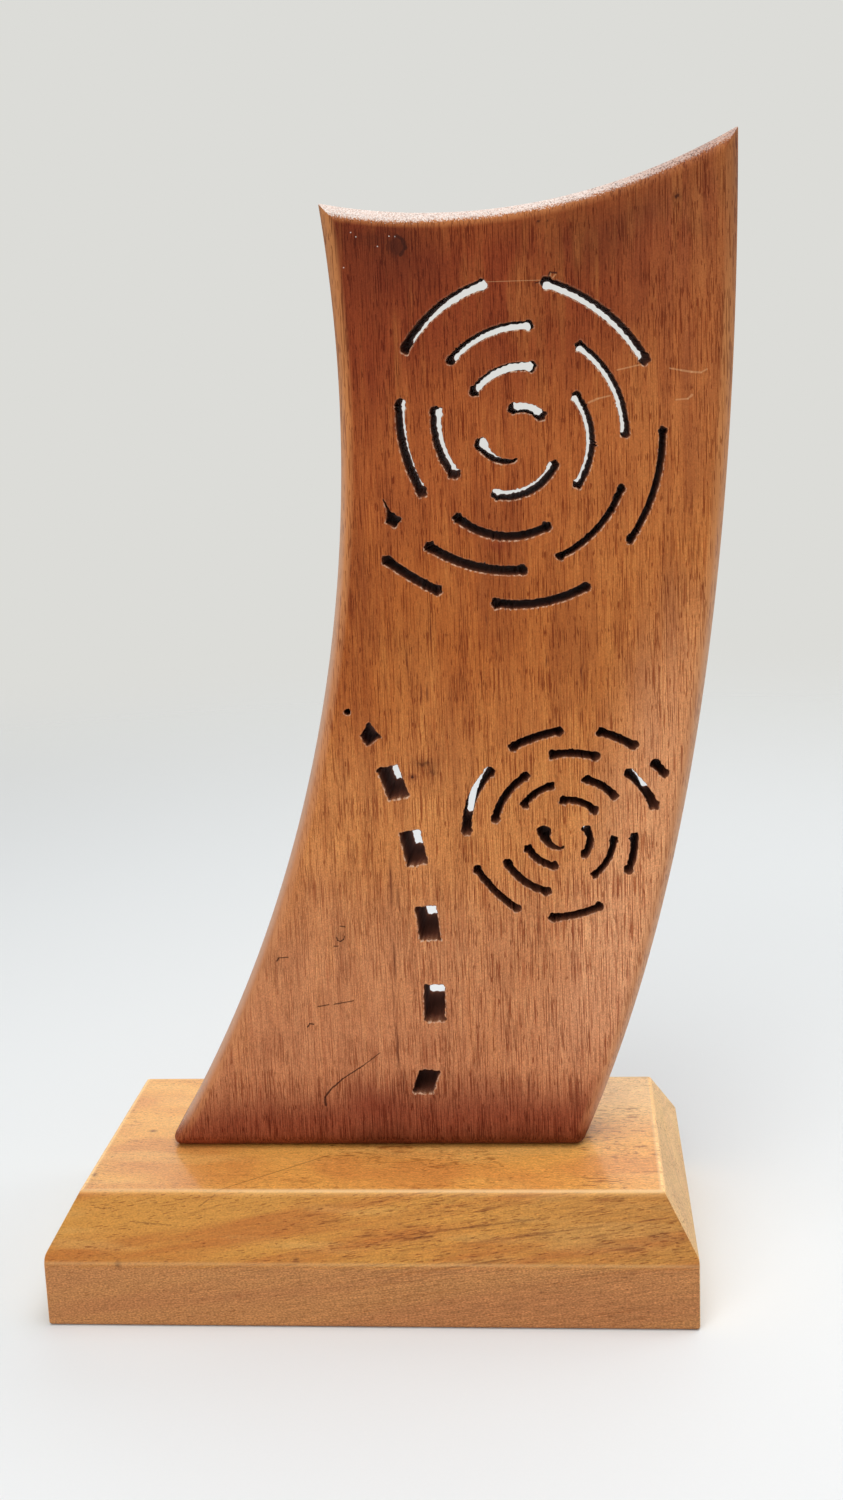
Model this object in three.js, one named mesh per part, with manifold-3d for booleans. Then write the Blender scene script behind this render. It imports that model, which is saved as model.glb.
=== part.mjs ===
// Carved and pierced stern panel of a canoe, standing on a bevelled wooden plinth.
// Millimetres, +Z up, the panel's face towards -Y, origin at the centre of the plinth's underside.

import * as THREE from 'three';
import { mergeVertices } from 'three/addons/utils/BufferGeometryUtils.js';
import Module from 'manifold-3d';

const wasm = await Module();
wasm.setup();

// Plinth: a block with all four upper edges bevelled
const PLINTH_LENGTH = 230;
const PLINTH_DEPTH = 130;
const PLINTH_HEIGHT = 45;
const LONG_BEVEL_INSET = 14;
const LONG_BEVEL_DROP = 21;
const END_BEVEL_INSET = 11;
const END_BEVEL_DROP = 19;
const EASED_ARRIS = 1.2;

// Panel outline, seen from the front: heights are above the foot, X is from the plinth's centre
const PANEL_THICKNESS = 30;
const EDGE_ROUND = 6;
const PANEL_SET_FORWARD = 2;
const FOOT_LENGTH = 156.5;
const FOOT_MIDDLE_X = -2.3;
const LEFT_TIP_HEIGHT = 338.8;
const LEFT_TIP_LEAN = 74.7;
const RIGHT_TIP_HEIGHT = 356.5;
const RIGHT_TIP_LEAN = 57.8;
const LEFT_EDGE_HOLLOW = 30;
const TOP_EDGE_HOLLOW = 12.2;
const RIGHT_EDGE_FOOT_ANGLE = 66.3;
const RIGHT_EDGE_FOOT_REACH = 118;
const RIGHT_EDGE_TIP_REACH = 110;
const LEFT_FOOT_CORNER_RADIUS = 3;
const RIGHT_FOOT_CORNER_RADIUS = 4;

// Places of the carving: each rosette is set out from the panel's right edge
const UPPER_ROSETTE_BELOW_TIP = 96.4;
const UPPER_ROSETTE_FROM_EDGE = 73.4;
const LOWER_ROSETTE_HEIGHT = 120;
const LOWER_ROSETTE_FROM_EDGE = 41;
const DRILLED_END_FLARE = 0.4;

// Row of holes: a bent line from its drilled top hole to its last window, set out from the panel's left edge
const ROW_TOP_HEIGHT = 166;
const ROW_TOP_FROM_EDGE = 9.8;
const ROW_FOOT_HEIGHT = 26.6;
const ROW_FOOT_FROM_EDGE = 84;
const ROW_TOP_ANGLE = -37;
const ROW_TOP_REACH = 27.5;
const ROW_FOOT_ANGLE = -109;
const ROW_FOOT_REACH = 34.5;
const ROW_DRILL_RADIUS = 1.2;
const WINDOW_WIDTH = 8;

// Screws and dowels that hold the panel's foot to the plinth
const SCREW_LENGTH = 70;
const SCREW_RADIUS = 2.25;
const SCREW_HEAD_RADIUS = 4.4;
const SCREW_HEAD_RIM = 0.5;
const SCREW_HEAD_SUNK = 1;
const SCREW_POINT_LENGTH = 6;
const SCREW_SPACING = 90;
const RECESS_WIDTH = 1;
const RECESS_LENGTH = 4.6;
const RECESS_DEPTH = 1.8;
const DOWEL_RADIUS = 4;
const DOWEL_LENGTH = 30;
const DOWEL_CHAMFER = 1;
const DOWEL_SPACING = 40;

// Fits
const FIT_CLEARANCE = 0.3;
const CUT_OVERRUN = 1;

// Fineness of the curves
const EDGE_STEP = 17;
const ROUND_STEPS = 5;
const CORNER_STEPS = 4;
const SLOT_STEP = 7;
const DRILLED_STEPS = 6;
const TURNED_SIDES = 24;
const ARRIS_STEPS = 3;
const MEETING_STEPS = 12;
const HALVING_STEPS = 40;

// Slots of the upper rosette: a broken double spiral, each slot from one angle to another in degrees,
// with its radius from the rosette's centre at the start, in the middle and at the end, and its width
const UPPER_SLOTS = [
  { from: 21, to: 97, radii: [12, 10, 8], width: 3.5 },
  { from: 182, to: 281, radii: [11.5, 10, 8.5], width: 3.6, tail: 0.8 },
  { from: 68, to: 135, radii: [23.5, 21.5, 19], width: 3.2 },
  { from: -112, to: -33, radii: [21, 19.5, 17], width: 3.5 },
  { from: -42, to: 32, radii: [28, 26.5, 24.5], width: 3.3 },
  { from: 157, to: 216, radii: [27.5, 25, 23.5], width: 3.8 },
  { from: 77, to: 131, radii: [36.5, 34.5, 32], width: 3.1 },
  { from: -128, to: -68, radii: [33.5, 34.5, 33], width: 3.3 },
  { from: -4, to: 53, radii: [38, 37.5, 36.5], width: 3.4 },
  { from: 160, to: 213, radii: [40, 37, 36.5], width: 3.2 },
  { from: -72, to: -26, radii: [44.5, 43, 41], width: 2.6 },
  { from: -131, to: -85, radii: [47.5, 46.5, 46], width: 3.6 },
  { from: 98, to: 142, radii: [50.5, 48.5, 46], width: 3.6 },
  { from: 25, to: 78, radii: [50.5, 50, 51], width: 3.8 },
  { from: -45, to: 1, radii: [54, 51.5, 50.5], width: 2.6 },
  { from: -99, to: -64, radii: [57.5, 58, 57.5], width: 3.4 },
  { from: -139, to: -116, radii: [61, 59.5, 59], width: 3.6 },
];

// Slots of the lower rosette, in the same terms
const LOWER_SLOTS = [
  { from: 152, to: 267, radii: [7.5, 6.5, 5], width: 4.6, tail: 0.8 },
  { from: -56, to: 21, radii: [10.5, 9.5, 7.5], width: 2.6 },
  { from: 31, to: 97, radii: [14, 13, 12], width: 2.6 },
  { from: -165, to: -101, radii: [14, 13, 12], width: 2.7 },
  { from: 99, to: 146, radii: [18, 18, 17.5], width: 2.5 },
  { from: -60, to: -3, radii: [18.5, 18, 17.5], width: 2.3 },
  { from: 33, to: 71, radii: [22.5, 22, 21], width: 2.8 },
  { from: -157, to: -103, radii: [23, 22.5, 22], width: 2.8 },
  { from: 118, to: 170, radii: [25, 25, 25], width: 2.7 },
  { from: -35, to: 0, radii: [26.5, 25.5, 24.5], width: 2.7 },
  { from: 64, to: 100, radii: [30.5, 29.5, 29], width: 2.8 },
  { from: -102, to: -63, radii: [31.5, 30, 29.5], width: 2.8 },
  { from: 14, to: 46, radii: [33.5, 32.5, 31.5], width: 3 },
  { from: -161, to: -120, radii: [34, 32.5, 32.5], width: 2.6 },
  { from: 135, to: 180, radii: [34.5, 35, 34.5], width: 3.3 },
  { from: 89, to: 121, radii: [37.5, 36.5, 36.5], width: 2.9 },
  { from: 49, to: 72, radii: [40.5, 39.5, 39], width: 2.9 },
  { from: 29, to: 40, radii: [42, 41, 41], width: 3 },
];

// Small split beside the upper rosette, from the rosette's centre: a nick with a thin pointed end
const SPLIT = [
  [-45.1, -19.9],
  [-43.8, -24.6],
  [-44.4, -28.3],
  [-41.6, -30.3],
  [-38.6, -26.9],
  [-42.4, -24.8],
];

// Kite-shaped hole near the top of the row, and the windows below it: how far along the row each one is
const KITE = { along: 11.5, corners: [[0, 5], [-3.2, 0], [-1.2, -4], [4, -0.7]] };
const WINDOWS = [
  { along: 30.5, tall: 13.1, rise: 9.9 },
  { along: 55.5, tall: 13.7, rise: 8.9 },
  { along: 84, tall: 13.6, rise: 1.3 },
  { along: 114.5, tall: 15, rise: 0 },
  { along: 145.7, tall: 10.1, rise: -2.4 },
];

const radians = THREE.MathUtils.degToRad;

// Makes a closed solid from a geometry: merges shared corners and drops triangles that have collapsed
function solidFrom(geometry) {
  const bare = geometry.clone();
  bare.deleteAttribute('normal');
  bare.deleteAttribute('uv');
  const merged = mergeVertices(bare);
  const index = merged.index.array;
  const corners = [];
  for (let i = 0; i < index.length; i += 3) {
    const [a, b, c] = [index[i], index[i + 1], index[i + 2]];
    if (a !== b && b !== c && c !== a) corners.push(a, b, c);
  }
  return new wasm.Manifold(new wasm.Mesh({
    numProp: 3,
    vertProperties: new Float32Array(merged.attributes.position.array),
    triVerts: new Uint32Array(corners),
  }));
}

// Turns a solid back into a geometry
function geometryFrom(solid) {
  const mesh = solid.getMesh();
  const geometry = new THREE.BufferGeometry();
  geometry.setAttribute('position', new THREE.BufferAttribute(mesh.vertProperties, 3));
  geometry.setIndex(new THREE.BufferAttribute(mesh.triVerts, 1));
  geometry.computeVertexNormals();
  return geometry;
}

// A named piece with a finish of its own
function piece(name, solid, color, roughness, metalness) {
  const material = new THREE.MeshStandardMaterial({ color, roughness, metalness });
  const mesh = new THREE.Mesh(geometryFrom(solid), material);
  mesh.name = name;
  return mesh;
}

// Carries an outline drawn in X and Z through a length of Y, centred on Y = 0
function acrossDepth(shape, depth) {
  const geometry = new THREE.ExtrudeGeometry(shape, { depth, bevelEnabled: false });
  geometry.rotateX(Math.PI / 2);
  geometry.translate(0, depth / 2, 0);
  return geometry;
}

// Turns a profile of [radius, height] points about the Z axis
function turned(profile) {
  const points = profile.map(([radius, height]) => new THREE.Vector2(radius, height));
  const geometry = new THREE.LatheGeometry(points, TURNED_SIDES);
  geometry.rotateX(Math.PI / 2);
  return geometry;
}

// An edge between two points as one arc, hollow by the given amount on its outer side
function hollowEdge(start, end, hollow) {
  const chord = end.clone().sub(start);
  const length = chord.length();
  const radius = (length * length / 4 + hollow * hollow) / (2 * hollow);
  const outward = new THREE.Vector2(chord.y, -chord.x).divideScalar(length);
  const centre = start.clone().lerp(end, 1 / 2).addScaledVector(outward, radius - hollow);
  const angleOf = (point) => Math.atan2(point.y - centre.y, point.x - centre.x);
  return new THREE.EllipseCurve(centre.x, centre.y, radius, radius, angleOf(start), angleOf(end), true);
}

// The point at a distance and an angle in degrees from another
function reached(point, angle, distance) {
  const turn = radians(angle);
  return new THREE.Vector2(point.x + distance * Math.cos(turn), point.y + distance * Math.sin(turn));
}

// The panel's four edges, in order round its face, with the corner radius at each one's end
function panelEdges() {
  const leftFoot = new THREE.Vector2(FOOT_MIDDLE_X - FOOT_LENGTH / 2, 0);
  const rightFoot = new THREE.Vector2(FOOT_MIDDLE_X + FOOT_LENGTH / 2, 0);
  const leftTip = new THREE.Vector2(leftFoot.x + LEFT_TIP_LEAN, LEFT_TIP_HEIGHT);
  const rightTip = new THREE.Vector2(rightFoot.x + RIGHT_TIP_LEAN, RIGHT_TIP_HEIGHT);
  const fromFoot = reached(rightFoot, RIGHT_EDGE_FOOT_ANGLE, RIGHT_EDGE_FOOT_REACH);
  const underTip = new THREE.Vector2(rightTip.x, rightTip.y - RIGHT_EDGE_TIP_REACH);
  return {
    foot: new THREE.LineCurve(leftFoot, rightFoot),
    right: new THREE.CubicBezierCurve(rightFoot, fromFoot, underTip, rightTip),
    top: hollowEdge(rightTip, leftTip, TOP_EDGE_HOLLOW),
    left: hollowEdge(leftTip, leftFoot, LEFT_EDGE_HOLLOW),
  };
}

// How far across an edge lies at a height
function edgeAcross(edge, height) {
  const rising = edge.getPoint(1).y > edge.getPoint(0).y;
  let low = 0;
  let high = 1;
  for (let i = 0; i < HALVING_STEPS; i += 1) {
    const middle = (low + high) / 2;
    if ((edge.getPoint(middle).y < height) === rising) low = middle;
    else high = middle;
  }
  return edge.getPoint(low).x;
}

// The inward direction of an edge that runs anticlockwise round the face
function inward(edge, place) {
  const along = edge.getTangentAt(place);
  return new THREE.Vector2(-along.y, along.x);
}

// Where two neighbouring edges meet once both are drawn in by an inset, as places along each
function meeting(before, after, inset) {
  let onBefore = 1;
  let onAfter = 0;
  for (let i = 0; i < MEETING_STEPS; i += 1) {
    const here = before.getPointAt(onBefore).addScaledVector(inward(before, onBefore), inset);
    const there = after.getPointAt(onAfter).addScaledVector(inward(after, onAfter), inset);
    const gap = there.sub(here);
    const directionBefore = before.getTangentAt(onBefore);
    const directionAfter = after.getTangentAt(onAfter);
    const across = directionBefore.cross(directionAfter);
    const stepBefore = gap.cross(directionAfter) / across / before.getLength();
    const stepAfter = gap.cross(directionBefore) / across / after.getLength();
    onBefore = THREE.MathUtils.clamp(onBefore + stepBefore, 0, 1);
    onAfter = THREE.MathUtils.clamp(onAfter + stepAfter, 0, 1);
  }
  return { onBefore, onAfter };
}

// The panel's outline drawn in by an inset: always the same number of points, its corners rounded or sharp
function insetOutline(edges, inset) {
  const order = [
    { edge: edges.foot, cornerRadius: RIGHT_FOOT_CORNER_RADIUS },
    { edge: edges.right, cornerRadius: 0 },
    { edge: edges.top, cornerRadius: 0 },
    { edge: edges.left, cornerRadius: LEFT_FOOT_CORNER_RADIUS },
  ];
  const corners = order.map(({ edge, cornerRadius }, i) => {
    const next = order[(i + 1) % order.length].edge;
    return { ...meeting(edge, next, Math.max(inset, cornerRadius)), cornerRadius, next };
  });
  const points = [];
  order.forEach(({ edge }, i) => {
    const corner = corners[i];
    const start = corners[(i + order.length - 1) % order.length].onAfter;
    const steps = edge.isLineCurve ? 1 : Math.ceil(edge.getLength() / EDGE_STEP);
    for (let k = 0; k <= steps; k += 1) {
      const place = start + (corner.onBefore - start) * k / steps;
      points.push(edge.getPointAt(place).addScaledVector(inward(edge, place), inset));
    }
    const radius = Math.max(corner.cornerRadius - inset, 0);
    if (corner.cornerRadius === 0) {
      points.pop();
      return;
    }
    const firstIn = inward(edge, corner.onBefore);
    const lastIn = inward(corner.next, corner.onAfter);
    const centre = edge.getPointAt(corner.onBefore).addScaledVector(firstIn, inset + radius);
    const turn = Math.atan2(firstIn.cross(lastIn), firstIn.dot(lastIn));
    for (let k = 1; k < CORNER_STEPS; k += 1) {
      const outward = firstIn.clone().negate().rotateAround(new THREE.Vector2(), turn * k / CORNER_STEPS);
      points.push(centre.clone().addScaledVector(outward, radius));
    }
  });
  return points;
}

// The panel before it is pierced: its outline carried through the thickness, rounded over on both faces
function panelBlank(edges) {
  const levels = [];
  for (let k = 0; k <= ROUND_STEPS; k += 1) {
    const turn = Math.PI / 2 * k / ROUND_STEPS;
    const inset = EDGE_ROUND * (1 - Math.cos(turn));
    const depth = PANEL_THICKNESS / 2 - EDGE_ROUND * (1 - Math.sin(turn));
    levels.push({ inset, depth });
  }
  const rings = [...levels].reverse().map(({ inset, depth }) => ({ inset, y: -depth }));
  rings.push(...levels.map(({ inset, depth }) => ({ inset, y: depth })));
  const outlines = rings.map(({ inset }) => insetOutline(edges, inset));
  const count = outlines[0].length;
  const placed = (outline, y) => outline.flatMap((point) => [point.x, y, point.y]);
  const positions = outlines.flatMap((outline, k) => placed(outline, rings[k].y));
  const triangles = [];
  for (let k = 0; k + 1 < rings.length; k += 1) {
    for (let i = 0; i < count; i += 1) {
      const next = (i + 1) % count;
      const [a, b, c, d] = [k * count + i, k * count + next, (k + 1) * count + next, (k + 1) * count + i];
      triangles.push(a, d, b, b, d, c);
    }
  }
  const face = THREE.ShapeUtils.triangulateShape(outlines[0], []);
  const back = (rings.length - 1) * count;
  for (const [a, b, c] of face) triangles.push(a, b, c, back + a, back + c, back + b);
  const geometry = new THREE.BufferGeometry();
  geometry.setAttribute('position', new THREE.Float32BufferAttribute(positions, 3));
  geometry.setIndex(triangles);
  return geometry;
}

// A curved slot about a rosette's centre, as wide as the saw's path, with a drilled hole at each end
function slotShape(centre, { from, to, radii, width, tail }) {
  const [first, middle, last] = radii;
  const bend = 2 * (first + last) - 4 * middle;
  const radiusAt = (share) => first + (last - first - bend) * share + bend * share * share;
  const pathAt = (share) => reached(centre, from + (to - from) * share, radiusAt(share));
  const acrossAt = (share) => pathAt(share).sub(centre).normalize();
  const halfAt = (share) => tail === undefined ? width / 2 : width / 2 + (tail - width) / 2 * share;
  const length = radians(to - from) * middle;
  const endRadius = width / 2 + DRILLED_END_FLARE;
  const neck = Math.acos(width / 2 / endRadius);
  const startShare = endRadius / length;
  const endShare = tail === undefined ? 1 - startShare : 1;
  const steps = Math.max(2, Math.ceil(length / SLOT_STEP));
  const neckShare = endRadius * Math.sin(neck) / length;
  const lowShare = startShare + neckShare;
  const highShare = tail === undefined ? endShare - neckShare : 1;
  const points = [];
  const addSide = (side, start, end) => {
    for (let k = 0; k <= steps; k += 1) {
      const share = start + (end - start) * k / steps;
      points.push(pathAt(share).addScaledVector(acrossAt(share), side * halfAt(share)));
    }
  };
  const addDrilledEnd = (share, side) => {
    const hub = pathAt(share);
    const across = acrossAt(share).multiplyScalar(side);
    for (let k = 1; k < DRILLED_STEPS; k += 1) {
      const turn = (Math.PI + 2 * neck) * k / DRILLED_STEPS - neck;
      const outward = across.clone().rotateAround(new THREE.Vector2(), turn);
      points.push(hub.clone().addScaledVector(outward, endRadius));
    }
  };
  addSide(1, lowShare, highShare);
  if (tail === undefined) addDrilledEnd(endShare, 1);
  addSide(-1, highShare, lowShare);
  addDrilledEnd(startShare, -1);
  return new THREE.Shape(points);
}

// A closed outline through points given as [x, height] from a centre
function outlineAbout(centre, offsets) {
  return new THREE.Shape(offsets.map(([x, height]) => new THREE.Vector2(centre.x + x, centre.y + height)));
}

// The small holes of the row: a drilled hole, a kite and a run of windows turned along the row
function rowShapes(edges) {
  const topX = edgeAcross(edges.left, ROW_TOP_HEIGHT) + ROW_TOP_FROM_EDGE;
  const footX = edgeAcross(edges.left, ROW_FOOT_HEIGHT) + ROW_FOOT_FROM_EDGE;
  const top = new THREE.Vector2(topX, ROW_TOP_HEIGHT);
  const foot = new THREE.Vector2(footX, ROW_FOOT_HEIGHT);
  const afterTop = reached(top, ROW_TOP_ANGLE, ROW_TOP_REACH);
  const beforeFoot = reached(foot, ROW_FOOT_ANGLE, -ROW_FOOT_REACH);
  const row = new THREE.CubicBezierCurve(top, afterTop, beforeFoot, foot);
  const placeOf = (along) => THREE.MathUtils.clamp(along / row.getLength(), 0, 1);
  const drilled = new THREE.Shape().absarc(top.x, top.y, ROW_DRILL_RADIUS, 0, 2 * Math.PI);
  const shapes = [drilled, outlineAbout(row.getPointAt(placeOf(KITE.along)), KITE.corners)];
  for (const { along, tall, rise } of WINDOWS) {
    const centre = row.getPointAt(placeOf(along));
    const down = row.getTangentAt(placeOf(along)).multiplyScalar(tall / 2);
    const across = reached(new THREE.Vector2(), rise, WINDOW_WIDTH / 2);
    const corners = [[-1, 1], [1, 1], [1, -1], [-1, -1]];
    shapes.push(outlineAbout(centre, corners.map(([side, end]) => [
      side * across.x + end * down.x,
      side * across.y + end * down.y,
    ])));
  }
  return shapes;
}

// Places along X of the screws and dowels, in line under the panel's foot
function pairAbout(middle, spacing) {
  return { left: middle - spacing / 2, right: middle + spacing / 2 };
}
const SCREW_PLACES = pairAbout(FOOT_MIDDLE_X, SCREW_SPACING);
const DOWEL_PLACES = pairAbout(FOOT_MIDDLE_X, DOWEL_SPACING);

// A countersunk screw standing on its head, grown by a clearance where it is used to cut its own hole
function screwBody(clearance) {
  const shank = SCREW_RADIUS + clearance;
  const head = SCREW_HEAD_RADIUS + clearance;
  const under = clearance > 0 ? -CUT_OVERRUN : SCREW_HEAD_SUNK;
  const rim = SCREW_HEAD_SUNK + SCREW_HEAD_RIM + clearance / 2;
  const top = SCREW_HEAD_SUNK + SCREW_LENGTH;
  return turned([
    [0, under],
    [head, under],
    [head, rim],
    [shank, rim + head - shank],
    [shank, top - SCREW_POINT_LENGTH + clearance],
    [0, top + clearance],
  ]);
}

// The screw itself, with a cross recess in its head
function screwSolid() {
  const blade = (length, width) => {
    const box = new THREE.BoxGeometry(length, width, RECESS_DEPTH + CUT_OVERRUN);
    box.translate(0, 0, SCREW_HEAD_SUNK + (RECESS_DEPTH - CUT_OVERRUN) / 2);
    return solidFrom(box);
  };
  return solidFrom(screwBody(0))
    .subtract(blade(RECESS_LENGTH, RECESS_WIDTH))
    .subtract(blade(RECESS_WIDTH, RECESS_LENGTH));
}

// A dowel pin centred on the joint between plinth and panel, grown by a clearance for its two bores
function dowelBody(clearance) {
  const radius = DOWEL_RADIUS + clearance;
  const half = DOWEL_LENGTH / 2 + clearance;
  return turned([
    [0, -half],
    [radius - DOWEL_CHAMFER, -half],
    [radius, DOWEL_CHAMFER - half],
    [radius, half - DOWEL_CHAMFER],
    [radius - DOWEL_CHAMFER, half],
    [0, half],
  ]);
}

// Holes for the screws and dowels, at their places over the plinth
function fixingHoles() {
  const y = -PANEL_SET_FORWARD;
  const screwHole = (x) => screwBody(FIT_CLEARANCE).translate(x, y, 0);
  const dowelHole = (x) => dowelBody(FIT_CLEARANCE).translate(x, y, PLINTH_HEIGHT);
  const screwHoles = Object.values(SCREW_PLACES).map(screwHole);
  const dowelHoles = Object.values(DOWEL_PLACES).map(dowelHole);
  return [...screwHoles, ...dowelHoles].map(solidFrom);
}

// A bevelled cross-section of the plinth, its corners eased by small arcs
function plinthSection(width, inset, drop) {
  const corners = [
    new THREE.Vector2(-width / 2, 0),
    new THREE.Vector2(width / 2, 0),
    new THREE.Vector2(width / 2, PLINTH_HEIGHT - drop),
    new THREE.Vector2(width / 2 - inset, PLINTH_HEIGHT),
    new THREE.Vector2(inset - width / 2, PLINTH_HEIGHT),
    new THREE.Vector2(-width / 2, PLINTH_HEIGHT - drop),
  ];
  const points = corners.flatMap((corner, i) => {
    const toBefore = corners[(i + corners.length - 1) % corners.length].clone().sub(corner).normalize();
    const toAfter = corners[(i + 1) % corners.length].clone().sub(corner).normalize();
    const start = corner.clone().addScaledVector(toBefore, EASED_ARRIS);
    const end = corner.clone().addScaledVector(toAfter, EASED_ARRIS);
    return new THREE.QuadraticBezierCurve(start, corner, end).getPoints(ARRIS_STEPS);
  });
  return new THREE.Shape(points);
}

// The plinth: its front section carried back and its end section carried across, and what both hold
function plinthSolid(holes) {
  const fromFront = acrossDepth(plinthSection(PLINTH_LENGTH, END_BEVEL_INSET, END_BEVEL_DROP), PLINTH_DEPTH);
  const fromEnd = acrossDepth(plinthSection(PLINTH_DEPTH, LONG_BEVEL_INSET, LONG_BEVEL_DROP), PLINTH_LENGTH);
  fromEnd.rotateZ(Math.PI / 2);
  const block = solidFrom(fromFront).intersect(solidFrom(fromEnd));
  return holes.reduce((rest, hole) => rest.subtract(hole), block);
}

// The panel: its blank, pierced by the two rosettes and the row, and bored for its fixings
function panelSolid(holes) {
  const edges = panelEdges();
  const upperHeight = RIGHT_TIP_HEIGHT - UPPER_ROSETTE_BELOW_TIP;
  const upperX = edgeAcross(edges.right, upperHeight) - UPPER_ROSETTE_FROM_EDGE;
  const lowerX = edgeAcross(edges.right, LOWER_ROSETTE_HEIGHT) - LOWER_ROSETTE_FROM_EDGE;
  const upper = new THREE.Vector2(upperX, upperHeight);
  const lower = new THREE.Vector2(lowerX, LOWER_ROSETTE_HEIGHT);
  const shapes = [
    ...UPPER_SLOTS.map((slot) => slotShape(upper, slot)),
    outlineAbout(upper, SPLIT),
    ...LOWER_SLOTS.map((slot) => slotShape(lower, slot)),
    ...rowShapes(edges),
  ];
  const cutters = shapes.map((shape) => solidFrom(acrossDepth(shape, PANEL_THICKNESS + 2 * CUT_OVERRUN)));
  const fixings = holes.map((hole) => hole.translate([0, PANEL_SET_FORWARD, -PLINTH_HEIGHT]));
  const blank = solidFrom(panelBlank(edges));
  return [...cutters, ...fixings].reduce((rest, cutter) => rest.subtract(cutter), blank);
}

const group = new THREE.Group();
const holes = fixingHoles();

group.add(piece('plinth', plinthSolid(holes), 0xb87a3d, 0.4, 0));

const panel = piece('carved_panel', panelSolid(holes), 0x93522f, 0.45, 0);
panel.position.set(0, -PANEL_SET_FORWARD, PLINTH_HEIGHT);
group.add(panel);

for (const [side, x] of Object.entries(SCREW_PLACES)) {
  const screw = piece(`panel_screw_${side}`, screwSolid(), 0xb8b4a6, 0.35, 1);
  screw.position.set(x, -PANEL_SET_FORWARD, 0);
  group.add(screw);
}

for (const [side, x] of Object.entries(DOWEL_PLACES)) {
  const dowel = piece(`foot_dowel_${side}`, solidFrom(dowelBody(0)), 0xd8bc8c, 0.7, 0);
  dowel.position.set(x, -PANEL_SET_FORWARD, PLINTH_HEIGHT);
  group.add(dowel);
}

export default group;
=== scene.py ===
"""Pierced canoe stern carving on its bevelled plinth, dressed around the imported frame.

+Z is up, the carved face looks towards -Y, and the origin is the middle of the plinth's underside. Sizes
are in millimetres, as a maker would measure them, and become metres when a mesh is made. In the finishes,
smooth's limits are millimetres or levels of a noise, and a factor is how strongly a colour is laid over.
"""

import logging
import math
from dataclasses import dataclass, replace
from enum import Enum
from typing import Iterator

import bmesh
import bpy
import numpy as np
from mathutils import Matrix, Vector
from mathutils.geometry import delaunay_2d_cdt


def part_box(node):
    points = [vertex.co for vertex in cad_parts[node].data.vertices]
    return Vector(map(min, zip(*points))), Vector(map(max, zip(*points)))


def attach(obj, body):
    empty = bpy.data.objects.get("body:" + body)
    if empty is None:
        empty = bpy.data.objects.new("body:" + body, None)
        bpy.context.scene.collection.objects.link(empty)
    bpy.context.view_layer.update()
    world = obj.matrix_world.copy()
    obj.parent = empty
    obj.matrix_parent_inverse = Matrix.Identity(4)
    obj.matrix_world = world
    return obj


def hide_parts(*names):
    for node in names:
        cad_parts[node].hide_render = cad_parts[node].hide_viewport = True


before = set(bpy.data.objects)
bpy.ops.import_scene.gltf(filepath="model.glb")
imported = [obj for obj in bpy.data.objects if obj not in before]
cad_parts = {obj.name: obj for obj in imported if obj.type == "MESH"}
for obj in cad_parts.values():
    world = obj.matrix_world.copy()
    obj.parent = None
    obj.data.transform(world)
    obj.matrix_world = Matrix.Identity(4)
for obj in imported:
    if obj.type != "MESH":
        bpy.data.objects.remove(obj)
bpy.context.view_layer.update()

MM = 0.001
TAU = 2 * math.pi
SIDES = ("left", "right")
Array = np.ndarray
Pair = tuple[float, float]
Triple = tuple[float, float, float]
Colour = tuple[float, float, float, float]
FROM_ABOVE, FROM_FRONT = (0, 1), (0, 2)
log = logging.getLogger("carving")


class Paint(Enum):
    """Values painted on a mesh's points, which its finish reads by these names."""

    WALL = "cut_wall"
    # LIP_AND_HIGHLIGHT marks the torn fibres at a cut's edge and, stronger on the lower edges that face up,
    # a painted highlight.
    LIP_AND_HIGHLIGHT = "torn_lip"
    ROUND = "rounded_edge"
    # END marks end grain; on the panel's top edge it is the upward-facing share of the rim, where the finish
    # paints a highlight.
    END = "end_grain"


NO_PAINT: dict[Paint, float] = {}

# Meshes worked out as arrays


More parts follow.
